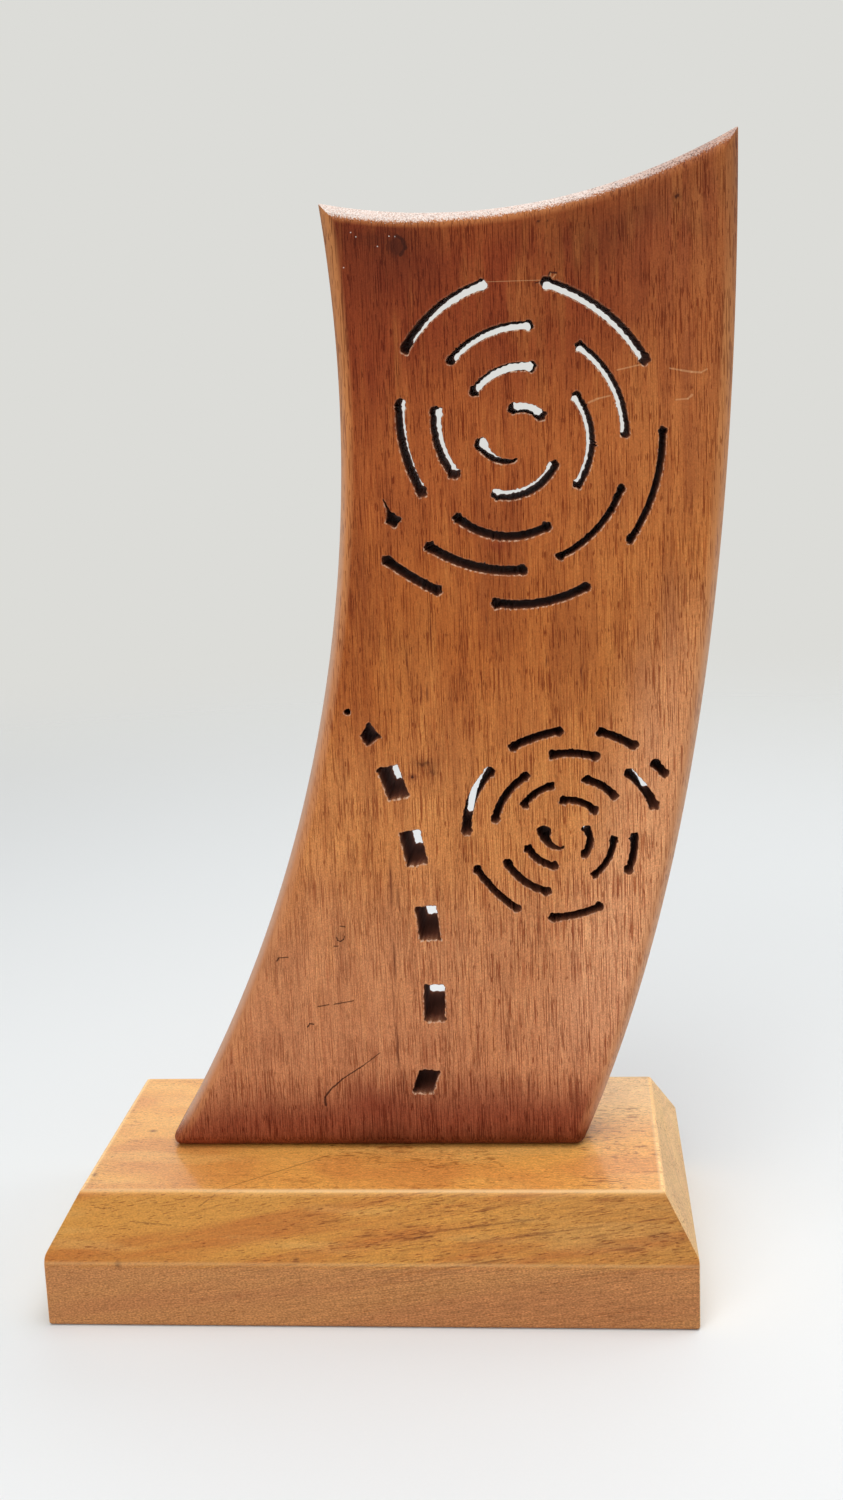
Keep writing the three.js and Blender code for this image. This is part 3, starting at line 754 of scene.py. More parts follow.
@dataclass
class CarvedPanel:
    """The carved and pierced board: a blade, rounded over on both faces, with ragged sawn cuts.

    Chipped is how many times deeper its saw marks are, on top, at the sharpest bend; a bite shows where a
    rough line passes the rare height; and worn is the height of each wave that hand work has left.
    """

    edge_round: float = 6
    round_steps: int = 9
    band_rows: int = 3
    wall_rows: int = 5
    face_spacing: float = 6
    chipped: float = 3
    rare: float = 1.4
    worn: float = 0.02

    NODE = "carved_panel"
    NAME = "pierced_panel"
    LIP_STEPS = (
        LipStep(depth=0, spread=0.5, beyond=0.45, wall=0, pale=0),
        LipStep(depth=0, spread=0.5, beyond=0, wall=0, pale=1),
        LipStep(depth=1 / 3, spread=0.25, beyond=0, wall=1, pale=1),
        LipStep(depth=1, spread=0, beyond=0, wall=1, pale=0.7),
    )

    def __post_init__(self) -> None:
        """Takes the panel's place and thickness from the frame."""
        low, high = (np.array(corner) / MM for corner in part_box(self.NODE))
        self.foot = low[2]
        self.middle = (low[1] + high[1]) / 2
        self.half = (high[1] - low[1]) / 2
        self.outline = PanelOutline(height=high[2] - low[2])
        self.carving = Carving(self.outline)

    def _placed(self, flat: Array, depth: Array | float) -> Array:
        """Points from their place on the face and their depth from the panel's middle plane."""
        depths = np.broadcast_to(depth, flat.shape[:-1])
        return np.stack([flat[..., 0], self.middle + depths, self.foot + flat[..., 1]], axis=-1)

    def _worked(self, flat: Array) -> Array:
        """How far hand work has taken the face down: four slow crossing sine waves, summed."""
        x, z = flat[..., 0], flat[..., 1]
        waves = np.sin(x / 11 + z / 31) + np.sin(z / 17 - x / 29 + 1) + np.sin(x / 23 + 2) + np.sin(z / 41)
        return self.worn * (4 + waves)

    def _body(self, skin: Skin) -> tuple[Array, Array]:
        """Adds the rounded rim, the sides and the bored foot.

        Ring k of a roundover lies at a turn of k quarter-turns over the number of steps: its inset is the
        radius times (1 - cosine), and its depth is short of the face by the radius times (1 - sine).

        Args:
            skin: The panel's surface.

        Returns:
            The rings where the front and back faces start.
        """
        turns = np.linspace(0, math.pi / 2, self.round_steps + 1)
        insets = self.edge_round * (1 - np.cos(turns))
        depths = self.half - self.edge_round * (1 - np.sin(turns))
        band = np.linspace(-depths[0], depths[0], self.band_rows + 2)[1:-1]
        all_insets = np.concatenate([insets[::-1], np.zeros(self.band_rows), insets])
        all_depths = np.concatenate([-depths[::-1], band, depths])
        rings = []
        for inset, depth in zip(all_insets, all_depths):
            flat = self.outline.ring(inset)
            share = np.sin(inset / self.edge_round * math.pi / 2)
            sign = math.copysign(1, depth)
            outer = 1 - inset / self.edge_round
            places = self._placed(flat, depth - sign * share * self._worked(flat))
            # upward is the share of the rim that faces up; the finish paints the top edge's highlight there.
            upward = np.clip(outward(flat)[:, 1], 0, 1) * outer
            rings.append(skin.points(places, {Paint.ROUND: outer, Paint.END: upward}))
        numbers = np.stack(rings)
        first = self.round_steps
        last = self.round_steps + self.band_rows + 1
        steps = self.outline.foot_steps()
        left_out = np.zeros((len(rings) - 1, numbers.shape[1]), bool)
        left_out[first:last, :steps] = True
        skin.grid(numbers, left_out)
        front, back = numbers[first, : steps + 1], numbers[last, : steps + 1]
        sides = numbers[first + 1 : last, steps], numbers[first + 1 : last, 0]
        border = np.concatenate([front, sides[0], back[::-1], sides[1][::-1]])
        bores = [bore.open_up(skin) for bore in Fixings().panel_bores(self.foot)]
        skin.fill([border, *bores], FROM_ABOVE)
        return numbers[0], numbers[-1]

    def _cut(self, skin: Skin, cut: Cut, seed: int) -> tuple[Array, Array]:
        """Adds one cut's walls and broken edges.

        The wall goes straight from the front outline to the back one, leaning as it goes, and a rough line,
        which changes slowly with depth, moves it out and in. Over the last fraction of a millimetre it
        spreads into the broken edge, and a further ring on the face bounds the torn fibres.

        Args:
            skin: The panel's surface.
            cut: The cut.
            seed: The first of the five draws that its roughness comes from.

        Returns:
            The cut's loops on the front and back faces.
        """
        style = cut.kind.value
        front, back = cut.evened()
        away = softened(outward(front), 3)
        along = travelled(front)
        chipped = 1 + self.chipped * turning(front)
        bites = style.bite * np.clip(np.abs(rough_line(along, 5, 1.2, seed + 4)) - self.rare, 0, None)
        saw = style.tooth * chipped * rough_line(along, 9, 1.8, seed) + bites
        drift = style.tooth * rough_line(along, 9, 1.6, seed + 1)
        torn = np.abs(rough_line(along, 7, 1.4, seed + 2)) * style.broken / 2
        patchy = np.clip(0.6 + 0.5 * rough_line(along, 7, 1.5, seed + 3), 0, 1)
        # The pale lip is torn fibres and a painted highlight: strongest on a cut's lower edges, whose broken
        # edge faces up.
        lip_and_highlight = style.pale * np.clip(0.45 - away[:, 1], 0.15, 1) * patchy
        edge = style.broken
        inner = self.half - edge
        rows = []
        for side in (-1, 1):
            for step in self.LIP_STEPS:
                depth = side * (self.half - step.depth * edge)
                spread = step.spread * (2 * torn + edge) + step.beyond
                out = self._roughness(saw, drift, depth) + spread
                flat = self._wall(front, back, depth) + away * out[:, None]
                if step.depth == 0:
                    depth = depth - side * self._worked(flat)
                shown = lip_and_highlight if side < 0 else patchy
                paint = {Paint.WALL: step.wall, Paint.LIP_AND_HIGHLIGHT: step.pale * shown}
                rows.append(skin.points(self._placed(flat, depth), paint))
            if side < 0:
                for depth in np.linspace(1 - inner, inner - 1, self.wall_rows):
                    out = self._roughness(saw, drift, depth)
                    flat = self._wall(front, back, depth) + away * out[:, None]
                    fading = lip_and_highlight * 0.25 * (depth == 1 - inner)
                    rows.append(skin.points(self._placed(flat, depth), {Paint.WALL: 1, Paint.LIP_AND_HIGHLIGHT: fading}))
        rows = rows[: -len(self.LIP_STEPS)] + rows[-len(self.LIP_STEPS) :][::-1]
        skin.grid(np.stack(rows))
        return rows[0], rows[-1]

    def _part(self, depth: float) -> float:
        """A depth as a share of the panel's thickness, from 0 at the front to 1 at the back."""
        return (depth + self.half) / (2 * self.half)

    def _wall(self, front: Array, back: Array, depth: float) -> Array:
        """The smooth wall's outline at a depth, part of the way from the front outline to the back one."""
        return front + self._part(depth) * (back - front)

    def _roughness(self, saw: Array, drift: Array, depth: float) -> Array:
        """How far roughness moves the wall out: half the saw's fades as twice the drift grows."""
        return saw * (1 - 0.5 * self._part(depth)) + 2 * drift * self._part(depth)

    def _inner_points(self, skin: Skin, depth: float, loops: list[Array]) -> Array:
        """Adds loose points over a face, on a square grid, each more than half a spacing from every loop.

        Args:
            skin: The panel's surface.
            depth: The face's depth from the panel's middle plane.
            loops: The face's rim and holes.

        Returns:
            The points' numbers.
        """
        edge = np.concatenate([skin.where(loop) for loop in loops])[:, [0, 2]]
        low, high = edge.min(axis=0), edge.max(axis=0)
        half = self.face_spacing / 2
        x, z = np.meshgrid(*(np.arange(a + half, b, self.face_spacing) for a, b in zip(low, high)))
        spots = np.stack([x.ravel(), z.ravel()], axis=1)
        nearest = np.min(np.hypot(*(spots[:, None] - edge[None, ::3]).transpose(2, 0, 1)), axis=1)
        kept = spots[nearest > half] - [0, self.foot]
        return skin.points(self._placed(kept, depth - math.copysign(1, depth) * self._worked(kept)))

    def build(self) -> bpy.types.Object:
        """Makes the panel as one closed mesh.

        Returns:
            The panel.
        """
        skin = Skin()
        front, back = self._body(skin)
        loops = [self._cut(skin, cut, 10 * k) for k, cut in enumerate(self.carving.cuts())]
        for rim, depth, side in ((front, -self.half, 0), (back, self.half, 1)):
            edges = [rim, *(pair[side] for pair in loops)]
            skin.fill(edges, FROM_FRONT, self._inner_points(skin, depth, edges))
        return skin.build(self.NAME)


# The fixings


@dataclass(frozen=True)
class Bore:
    """A round hole along Z: its profile of radius and height, from its mouth to its other end."""

    middle: Array
    profile: tuple[Pair, ...]
    sides: int = 40

    def wall(self, skin: Skin) -> Array:
        """Adds the bore's wall, one ring for each height of the profile that has a radius."""
        radii, heights = np.array([pair for pair in self.profile if pair[0] > 0]).T
        return skin.turn(self.middle, radii[:, None], heights, self.sides)

    def open_up(self, skin: Skin) -> Array:
        """Adds the wall and blind end of a bore whose profile ends at a radius of 0.

        Args:
            skin: The surface that it opens from.

        Returns:
            The loop at its mouth.
        """
        numbers = self.wall(skin)
        skin.cap(numbers[-1], self.middle, self.profile[-1][1])
        return numbers[0]


@dataclass(frozen=True)
class Fixings:
    """Two countersunk screws and two dowel pins that hold the panel's foot to the plinth."""

    clearance: float = 0.3
    screw_radius: float = 2.25
    screw_sides: int = 32
    head_radius: float = 4.4
    head_rim: float = 0.5
    head_sunk: float = 1
    screw_length: float = 70
    point_length: float = 6
    dowel_radius: float = 4
    dowel_length: float = 30
    dowel_chamfer: float = 1
    recess_width: float = 1
    recess_length: float = 4.6
    recess_depth: float = 1.8
    thread_pitch: float = 2.6
    thread_start: float = 47
    thread_run: float = 2
    thread_step: float = 0.22
    core_radius: float = 1.55
    flutes: int = 24
    flute_depth: float = 0.22

    @staticmethod
    def middle(node: str) -> Array:
        """A fixing's place along X and Y, from the frame."""
        low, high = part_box(node)
        return np.array([(low[0] + high[0]) / 2, (low[1] + high[1]) / 2]) / MM

    def panel_bores(self, foot: float) -> list[Bore]:
        """Sets out the bores in the panel's foot, opening downwards.

        Args:
            foot: The foot's height.

        Returns:
            A screw's and a dowel's bore for each side.
        """
        shank = self.screw_radius + self.clearance
        end = self.head_sunk + self.screw_length + self.clearance
        profile = ((shank, foot), (shank, end - self.point_length), (0, end))
        bores = []
        for side in SIDES:
            bores.append(Bore(self.middle(f"panel_screw_{side}"), profile))
            bores.append(self._dowel_bore(side, foot, 1))
        return bores

    def _dowel_bore(self, side: str, face: float, way: int) -> Bore:
        """Sets out a dowel's blind bore from the joint's face.

        Args:
            side: The dowel's side.
            face: The face's height.
            way: 1 for a bore upwards and -1 for one downwards.

        Returns:
            The bore.
        """
        radius = self.dowel_radius + self.clearance
        deep = self.dowel_length / 2 + self.clearance
        return Bore(self.middle(f"foot_dowel_{side}"), (
            (radius, face),
            (radius, face + way * (deep - self.dowel_chamfer)),
            (radius - self.dowel_chamfer, face + way * deep),
            (0, face + way * deep),
        ))

    def plinth_bores(self, top: float) -> tuple[list[Bore], list[Bore]]:
        """Sets out the bores in the plinth.

        Args:
            top: The plinth's height.

        Returns:
            The screws' holes right through it, and the dowels' blind bores in its top.
        """
        head = self.head_radius + self.clearance
        shank = self.screw_radius + self.clearance
        rim = self.head_sunk + self.head_rim + self.clearance / 2
        profile = ((head, 0), (head, rim), (shank, rim + head - shank), (shank, top))
        through = [Bore(self.middle(f"panel_screw_{side}"), profile) for side in SIDES]
        return through, [self._dowel_bore(side, top, -1) for side in SIDES]

    def _thread(self, heights: Array, turns: Array, tip: float) -> Array:
        """A screw's radius: it swells where height over pitch less the share of a turn is half past whole.

        Args:
            heights: The heights, as a column.
            turns: The turns, in radians.
            tip: The height of the screw's tip.

        Returns:
            The radius of the shank, threaded length and point, a row for each height.
        """
        started = np.clip((heights - self.thread_start) / self.thread_run, 0, 1)
        rise = self.screw_radius - self.core_radius
        wave = (heights / self.thread_pitch - turns / TAU) % 1
        ridge = np.clip(1 - np.abs(wave - 0.5) * 4.5, 0, 1) * rise
        point = np.clip((tip - heights) / self.point_length, 0.08, 1)
        return (self.screw_radius - rise * started + ridge * started) * point

    def _recess(self, skin: Skin, middle: Array) -> tuple[Array, Array]:
        """Adds the wall of the cross sunk in a screw's head: one arm, turned by four quarters.

        Args:
            skin: The screw's surface.
            middle: The screw's place along X and Y.

        Returns:
            The cross's loops at the head and at its floor.
        """
        long, wide = self.recess_length / 2, self.recess_width / 2
        arm = np.array([[long, -wide], [long, wide], [wide, wide]])
        quarter = np.array([[0, -1], [1, 0]])
        cross = middle + np.concatenate([arm @ np.linalg.matrix_power(quarter, -k) for k in range(4)])
        levels = (self.head_sunk, self.head_sunk + self.recess_depth)
        recess = skin.points(np.stack([lifted(cross, level) for level in levels]))
        skin.grid(recess)
        return recess[0], recess[1]

    def build_screw(self, side: str) -> bpy.types.Object:
        """Makes a wood screw: a disc with a sunk cross, the cone, plain shank, thread and point.

        Args:
            side: The screw's side.

        Returns:
            The screw.
        """
        middle = self.middle(f"panel_screw_{side}")
        tip = self.head_sunk + self.screw_length
        cone = self.head_sunk + self.head_rim + self.head_radius - self.screw_radius
        heights = np.concatenate([
            [self.head_sunk, self.head_sunk + self.head_rim],
            np.linspace(cone, self.thread_start, 6),
            np.arange(self.thread_start + 0.3, tip - 0.5, self.thread_step),
        ])
        column = heights[:, None]
        thread = self._thread(column, full_round(self.screw_sides), tip)
        radii = np.where(column < cone, self.head_radius, thread)
        skin = Skin()
        numbers = skin.turn(middle, radii, heights, self.screw_sides)
        skin.cap(numbers[-1], middle, tip)
        mouth, floor = self._recess(skin, middle)
        skin.fill([numbers[0], mouth], FROM_ABOVE)
        skin.fill([floor], FROM_ABOVE)
        return skin.build(f"wood_screw_{side}", crease=30)

    def build_dowel(self, side: str) -> bpy.types.Object:
        """Makes a dowel pin, whose radius falls by the flutes' depth as a cosine, once for each flute.

        Args:
            side: The dowel's side.

        Returns:
            The dowel.
        """
        node = f"foot_dowel_{side}"
        middle = self.middle(node)
        low, high = (corner[2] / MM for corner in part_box(node))
        sides = 4 * self.flutes
        steps = self.dowel_chamfer * np.array([0, 1, 1.5])
        heights = np.concatenate([low + steps, high - steps[::-1]])
        fluted = np.array([0, 1, 1, 1, 1, 0])[:, None]
        radii = self.dowel_radius - self.dowel_chamfer * (1 - fluted)
        radii = radii - self.flute_depth * fluted * (1 - np.cos(full_round(sides) * self.flutes)) / 2
        skin = Skin()
        numbers = skin.turn(middle, radii, heights, sides)
        skin.cap(numbers[0], middle, low)
        skin.cap(numbers[-1], middle, high)
        return skin.build(f"fluted_dowel_{side}")


# The plinth


@dataclass(frozen=True)
class Bevel:
    """One slope of the plinth: how far it runs in at the top, and how far down it starts."""

    inset: float
    drop: float

    def at(self, height: Array, top: float, eased: float) -> Array:
        """How far in the side lies at a height.

        Upright to the slope's start, then straight in at the slope, with the lower arris eased by a soft
        bend, the foot's arris by a quarter circle, and the top's by an arc that ends level.

        Args:
            height: The height, or an array of them.
            top: The plinth's height.
            eased: The radius of the eased arrises.

        Returns:
            The distance in at each height.
        """
        rate = self.inset / self.drop
        soft = eased / 3
        rise = np.clip(height - (top - self.drop), -30 * soft, None)
        side = rate * np.where(rise > 20 * soft, rise, soft * np.log1p(np.exp(np.minimum(rise / soft, 20))))
        foot = np.clip(eased - height, 0, None)
        side += eased - np.sqrt(np.clip(eased**2 - foot**2, 0, None))
        lean = math.atan2(self.drop, self.inset)
        below = np.clip(top - height, 0, None)
        turn = np.arccos(np.clip(1 - below / eased, -1, 1))
        arc = self.inset + eased * math.tan(lean / 2) - eased * np.sin(turn)
        return np.where(below < eased * (1 - math.cos(lean)), arc, side)


@dataclass
class Plinth:
    """The bevelled block that the panel stands on."""

    eased: float = 1.2
    corner: float = 0.9
    corner_points: int = 5
    spacing: float = 6
    long_bevel: Bevel = Bevel(inset=14, drop=21)
    end_bevel: Bevel = Bevel(inset=11, drop=19)

    NODE = "plinth"
    NAME = "bevelled_plinth"

    def __post_init__(self) -> None:
        """Takes the block's size from the frame."""
        _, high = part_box(self.NODE)
        self.half_length, self.half_depth, self.top = np.array(high) / MM

    def _level(self, height: float, inset: float = 0) -> Array:
        """The block's outline: a rectangle drawn in by its slopes and an inset, with rounded corners.

        Args:
            height: The height that it is taken at.
            inset: How much further it is drawn in.

        Returns:
            The outline's points, anticlockwise, always the same number of them.
        """
        heights = np.array(height)
        half_x = self.half_length - self.end_bevel.at(heights, self.top, self.eased) - inset
        half_y = self.half_depth - self.long_bevel.at(heights, self.top, self.eased) - inset
        half = np.array([half_x, half_y])
        steps = [round(2 * h / self.spacing) for h in (self.half_length, self.half_depth)]
        signs = ((-1, -1), (1, -1), (1, 1), (-1, 1))
        parts = []
        for k, sign in enumerate(signs):
            start = np.array(sign) * (half - self.corner)
            turns = math.pi * (1 + k / 2) + np.linspace(0, math.pi / 2, self.corner_points)
            arc = start + self.corner * around(turns)
            end = np.array(signs[(k + 1) % 4]) * (half - self.corner)
            shares = np.linspace(0, 1, steps[k % 2] + 1)[1:-1, None]
            parts += [arc, arc[-1] + shares * (end - start)]
        return np.concatenate(parts)

    def build(self) -> bpy.types.Object:
        """Makes the plinth as one closed mesh, bored for its fixings.

        Returns:
            The plinth.
        """
        arris = self.eased * (1 - np.cos(np.linspace(0, 1.2, 8)))
        start = self.top - self.long_bevel.drop
        heights = np.unique(np.round(np.concatenate([
            arris * 2,
            np.linspace(3, start - 2, 6),
            np.linspace(start - 2, start + 4, 16),
            np.linspace(start + 4, self.top - 2, 6),
            self.top - arris,
        ]), 4))
        rings = [self._level(height) for height in heights] + [self._level(self.top, self.eased)]
        heights = np.append(heights, self.top)
        places = [lifted(ring, height) for ring, height in zip(rings, heights)]
        # The arrises are painted lighter in the finish, partly for wear and partly as a painted highlight.
        arris_wear_and_highlight = np.exp(-(((heights - start) / 0.5) ** 2)) + np.exp(-(((heights - self.top) / 0.6) ** 2))
        # ends marks the end faces, which the finish pales partly as end grain and partly as painted sheen.
        ends = np.stack([np.abs(outward(ring)[:, 0]) for ring in rings])
        arris_wear_and_highlight[-1] = ends[-1] = 0
        skin = Skin()
        numbers = skin.points(np.stack(places), {Paint.ROUND: arris_wear_and_highlight[:, None], Paint.END: ends})
        skin.grid(numbers)
        through, blind = Fixings().plinth_bores(self.top)
        walls = [bore.wall(skin) for bore in through]
        dowel_mouths = [bore.open_up(skin) for bore in blind]
        skin.fill([numbers[0], *(wall[0] for wall in walls)], FROM_ABOVE)
        skin.fill([numbers[-1], *(wall[-1] for wall in walls), *dowel_mouths], FROM_ABOVE)
        return skin.build(self.NAME, crease=32)


# Finishes made of shader nodes


def linear(code: str) -> Colour:
    """A colour written as six sRGB digits, as the linear colour that a shader takes."""
    parts = [int(code[k : k + 2], 16) / 255 for k in (0, 2, 4)]
    red, green, blue = (p / 12.92 if p <= 0.04045 else ((p + 0.055) / 1.055) ** 2.4 for p in parts)
    return red, green, blue, 1.0


@dataclass(frozen=True)
class Pattern:
    """A noise: the size of its lumps in millimetres, its detail, and the offset that sets it apart."""

    size: Triple
    detail: float
    offset: float


class Scratch:
    """A thin bent line: its corners across and up, and the half width of each run between them."""

    def __init__(self, halves: tuple[float, ...], *corners: Pair) -> None:
        """Takes the half widths and one corner more than there are runs."""
        self._halves = halves
        self._corners = corners

    def runs(self) -> Iterator[tuple[Pair, Pair, float]]:
        """Each run's start, end and half width."""
        return zip(self._corners[:-1], self._corners[1:], self._halves)


class Value:
    """A number or vector on its way through a material's nodes, with arithmetic written as operators."""

    def __init__(self, graph: "Graph", socket: bpy.types.NodeSocket) -> None:
        """Wraps an output socket."""
        self.graph = graph
        self.socket = socket

    def _math(self, operation: str, *terms: "Value | float") -> "Value":
        """A Math node of the terms in order."""
        return self.graph.add("Math", {"operation": operation}, dict(enumerate(terms)))

    def __add__(self, other: "Value | float") -> "Value":
        """The sum of two values."""
        return self._math("ADD", self, other)

    def __radd__(self, other: float) -> "Value":
        """The sum of a number and this value."""
        return self._math("ADD", other, self)

    def __sub__(self, other: "Value | float") -> "Value":
        """This value less another."""
        return self._math("SUBTRACT", self, other)

    def __rsub__(self, other: float) -> "Value":
        """A number less this value."""
        return self._math("SUBTRACT", other, self)

    def __mul__(self, other: "Value | float") -> "Value":
        """The product of two values."""
        return self._math("MULTIPLY", self, other)

    def __rmul__(self, other: float) -> "Value":
        """The product of a number and this value."""
        return self._math("MULTIPLY", other, self)

    def most(self, other: "Value | float") -> "Value":
        """The greater of two values."""
        return self._math("MAXIMUM", self, other)

    def clamped(self) -> "Value":
        """This value, kept between 0 and 1."""
        return self.graph.add("Clamp", {}, {"Value": self})

    def smooth(self, low: float, high: float) -> "Value":
        """0 at low and 1 at high, easing in and out between them."""
        return self.graph.add(
            "MapRange",
            {"interpolation_type": "SMOOTHSTEP"},
            {"Value": self, "From Min": low, "From Max": high},
        )

    def vector(self, operation: str, other: "Value | tuple | float", output: str = "Vector") -> "Value":
        """A Vector Math node of this vector and another, or a scale."""
        sockets = {0: self, "Scale" if operation == "SCALE" else 1: other}
        return self.graph.add("VectorMath", {"operation": operation}, sockets, output)

    def length(self) -> "Value":
        """This vector's length."""
        return self.graph.add("VectorMath", {"operation": "LENGTH"}, {0: self}, "Value")

    def part(self, axis: str) -> "Value":
        """One of a vector's parts, X, Y or Z."""
        return self.graph.add("SeparateXYZ", {}, {"Vector": self}, axis)


class Graph:
    """The nodes that make a material's finish, or the world's light."""

    MIX_FACTOR, MIX_FIRST, MIX_SECOND, MIX_COLOUR = 0, 6, 7, 2
    OFFSET_WAY = (1, 1.7, 2.3)
    STROKE_CORE = 0.35

    def __init__(self, owner: bpy.types.Material | bpy.types.World) -> None:
        """Empties the owner's nodes."""
        owner.use_nodes = True
        self.owner = owner
        self.nodes = owner.node_tree.nodes
        self.nodes.clear()

    def add(
        self,
        kind: str,
        settings: dict[str, object] | None = None,
        inputs: dict[str | int, "Value | float | tuple"] | None = None,
        output: str | int = 0,
    ) -> Value:
        """Adds a node.

        Args:
            kind: The node's type, less the ShaderNode that it starts with.
            settings: Its settings, which are put in before its inputs.
            inputs: Constants, or values to link, by the sockets' names or numbers.
            output: The output to return, by name or number.

        Returns:
            That output, wrapped.
        """
        node = self.nodes.new(f"ShaderNode{kind}")
        for name, setting in (settings or {}).items():
            setattr(node, name, setting)
        for key, given in (inputs or {}).items():
            if isinstance(given, Value):
                self.owner.node_tree.links.new(given.socket, node.inputs[key])
            else:
                node.inputs[key].default_value = given
        return Value(self, node.outputs[output])

    def scaled(self, colour: "Value | tuple", amount: "Value | float") -> Value:
        """A colour made brighter or darker."""
        return self.add("VectorMath", {"operation": "SCALE"}, {0: colour, "Scale": amount})

    def place(self) -> Value:
        """The place on the object, in millimetres."""
        objects = self.add("TexCoord", output="Object")
        return objects.vector("SCALE", 1 / MM)

    def painted(self, paint: Paint) -> Value:
        """A value painted on the mesh's points."""
        return self.add("Attribute", {"attribute_name": paint.value}, output="Fac")

    def moved(self, place: Value, **by: Value) -> Value:
        """A place moved by a value along each axis that is named."""
        return place.vector("ADD", self.add("CombineXYZ", {}, by))

    def noise(self, place: Value, pattern: Pattern) -> Value:
        """Noise between about 0 and 1.

        Args:
            place: The place that it is read at.
            pattern: The size of its lumps, its detail and its offset.

        Returns:
            The noise.
        """
        settled = self.add("Mapping", {}, {
            "Vector": place,
            "Location": tuple(part * pattern.offset for part in self.OFFSET_WAY),
            "Scale": tuple(1 / part for part in pattern.size),
        })
        sockets = {"Vector": settled, "Scale": 1.0, "Detail": pattern.detail}
        return self.add("TexNoise", {}, sockets)

    def mix(self, factor: "Value | float", first: "Value | str", second: "Value | str") -> Value:
        """A colour between two colours.

        Args:
            factor: How much of the second is laid over the first.
            first: The first colour, as a value or as six sRGB digits.
            second: The second one.

        Returns:
            The mixed colour.
        """
        first, second = (linear(given) if isinstance(given, str) else given for given in (first, second))
        sockets = {self.MIX_FACTOR: factor, self.MIX_FIRST: first, self.MIX_SECOND: second}
        return self.add("Mix", {"data_type": "RGBA"}, sockets, self.MIX_COLOUR)

    def ramp(self, value: Value, stops: tuple[tuple[float, str], ...]) -> Value:
        """The colour of the stops that a value lies between, eased from each stop to the next.

        Args:
            value: What picks the colour.
            stops: Each stop's value and its colour.

        Returns:
            The colour.
        """
        colour: Value | str = stops[0][1]
        for (low, _), (high, code) in zip(stops[:-1], stops[1:]):
            colour = self.mix(value.smooth(low, high), colour, code)
        return colour

    def blob(self, place: Value, centre: tuple[float, ...], radii: tuple[float, ...]) -> Value:
        """1 at the centre of an ellipsoid, falling to 0 at its rim."""
        reach = place.vector("SUBTRACT", centre).vector("DIVIDE", radii)
        return 1 - reach.length().smooth(0, 1)

    def stroke(self, place: Value, start: tuple[float, ...], end: tuple[float, ...], half: float) -> Value:
        """A short line.

        Args:
            place: The place that it is read at.
            start: Where it starts.
            end: Where it ends.
            half: Half its width.

        Returns:
            1 along the line's middle, falling to 0 at half its width.
        """
        run = np.array(end) - np.array(start)
        from_start = place.vector("SUBTRACT", start)
        share = from_start.vector("DOT_PRODUCT", tuple(run / (run @ run)), "Value").clamped()
        nearest = self.scaled(tuple(run), share)
        return 1 - from_start.vector("SUBTRACT", nearest).length().smooth(half * self.STROKE_CORE, half)

    def principled(self, inputs: dict[str, "Value | float | tuple"], height: Value, depth: float) -> Value:
        """A Principled surface.

        Args:
            inputs: What feeds it, by its inputs' names.
            height: The relief, from 0 to 1.
            depth: The relief's depth in millimetres.

        Returns:
            The surface.
        """
        relief = self.add("Bump", {}, {"Distance": depth * MM, "Height": height})
        return self.add("BsdfPrincipled", {}, {**inputs, "Normal": relief})

    def ended(self, surface: Value) -> bpy.types.Material | bpy.types.World:
        """Links a surface to the owner's output.

        Args:
            surface: The surface, or the background's light.

        Returns:
            The material or the world.
        """
        kind = "World" if isinstance(self.owner, bpy.types.World) else "Material"
        end = self.nodes.new(f"ShaderNodeOutput{kind}")
        self.owner.node_tree.links.new(surface.socket, end.inputs["Surface"])
        return self.owner


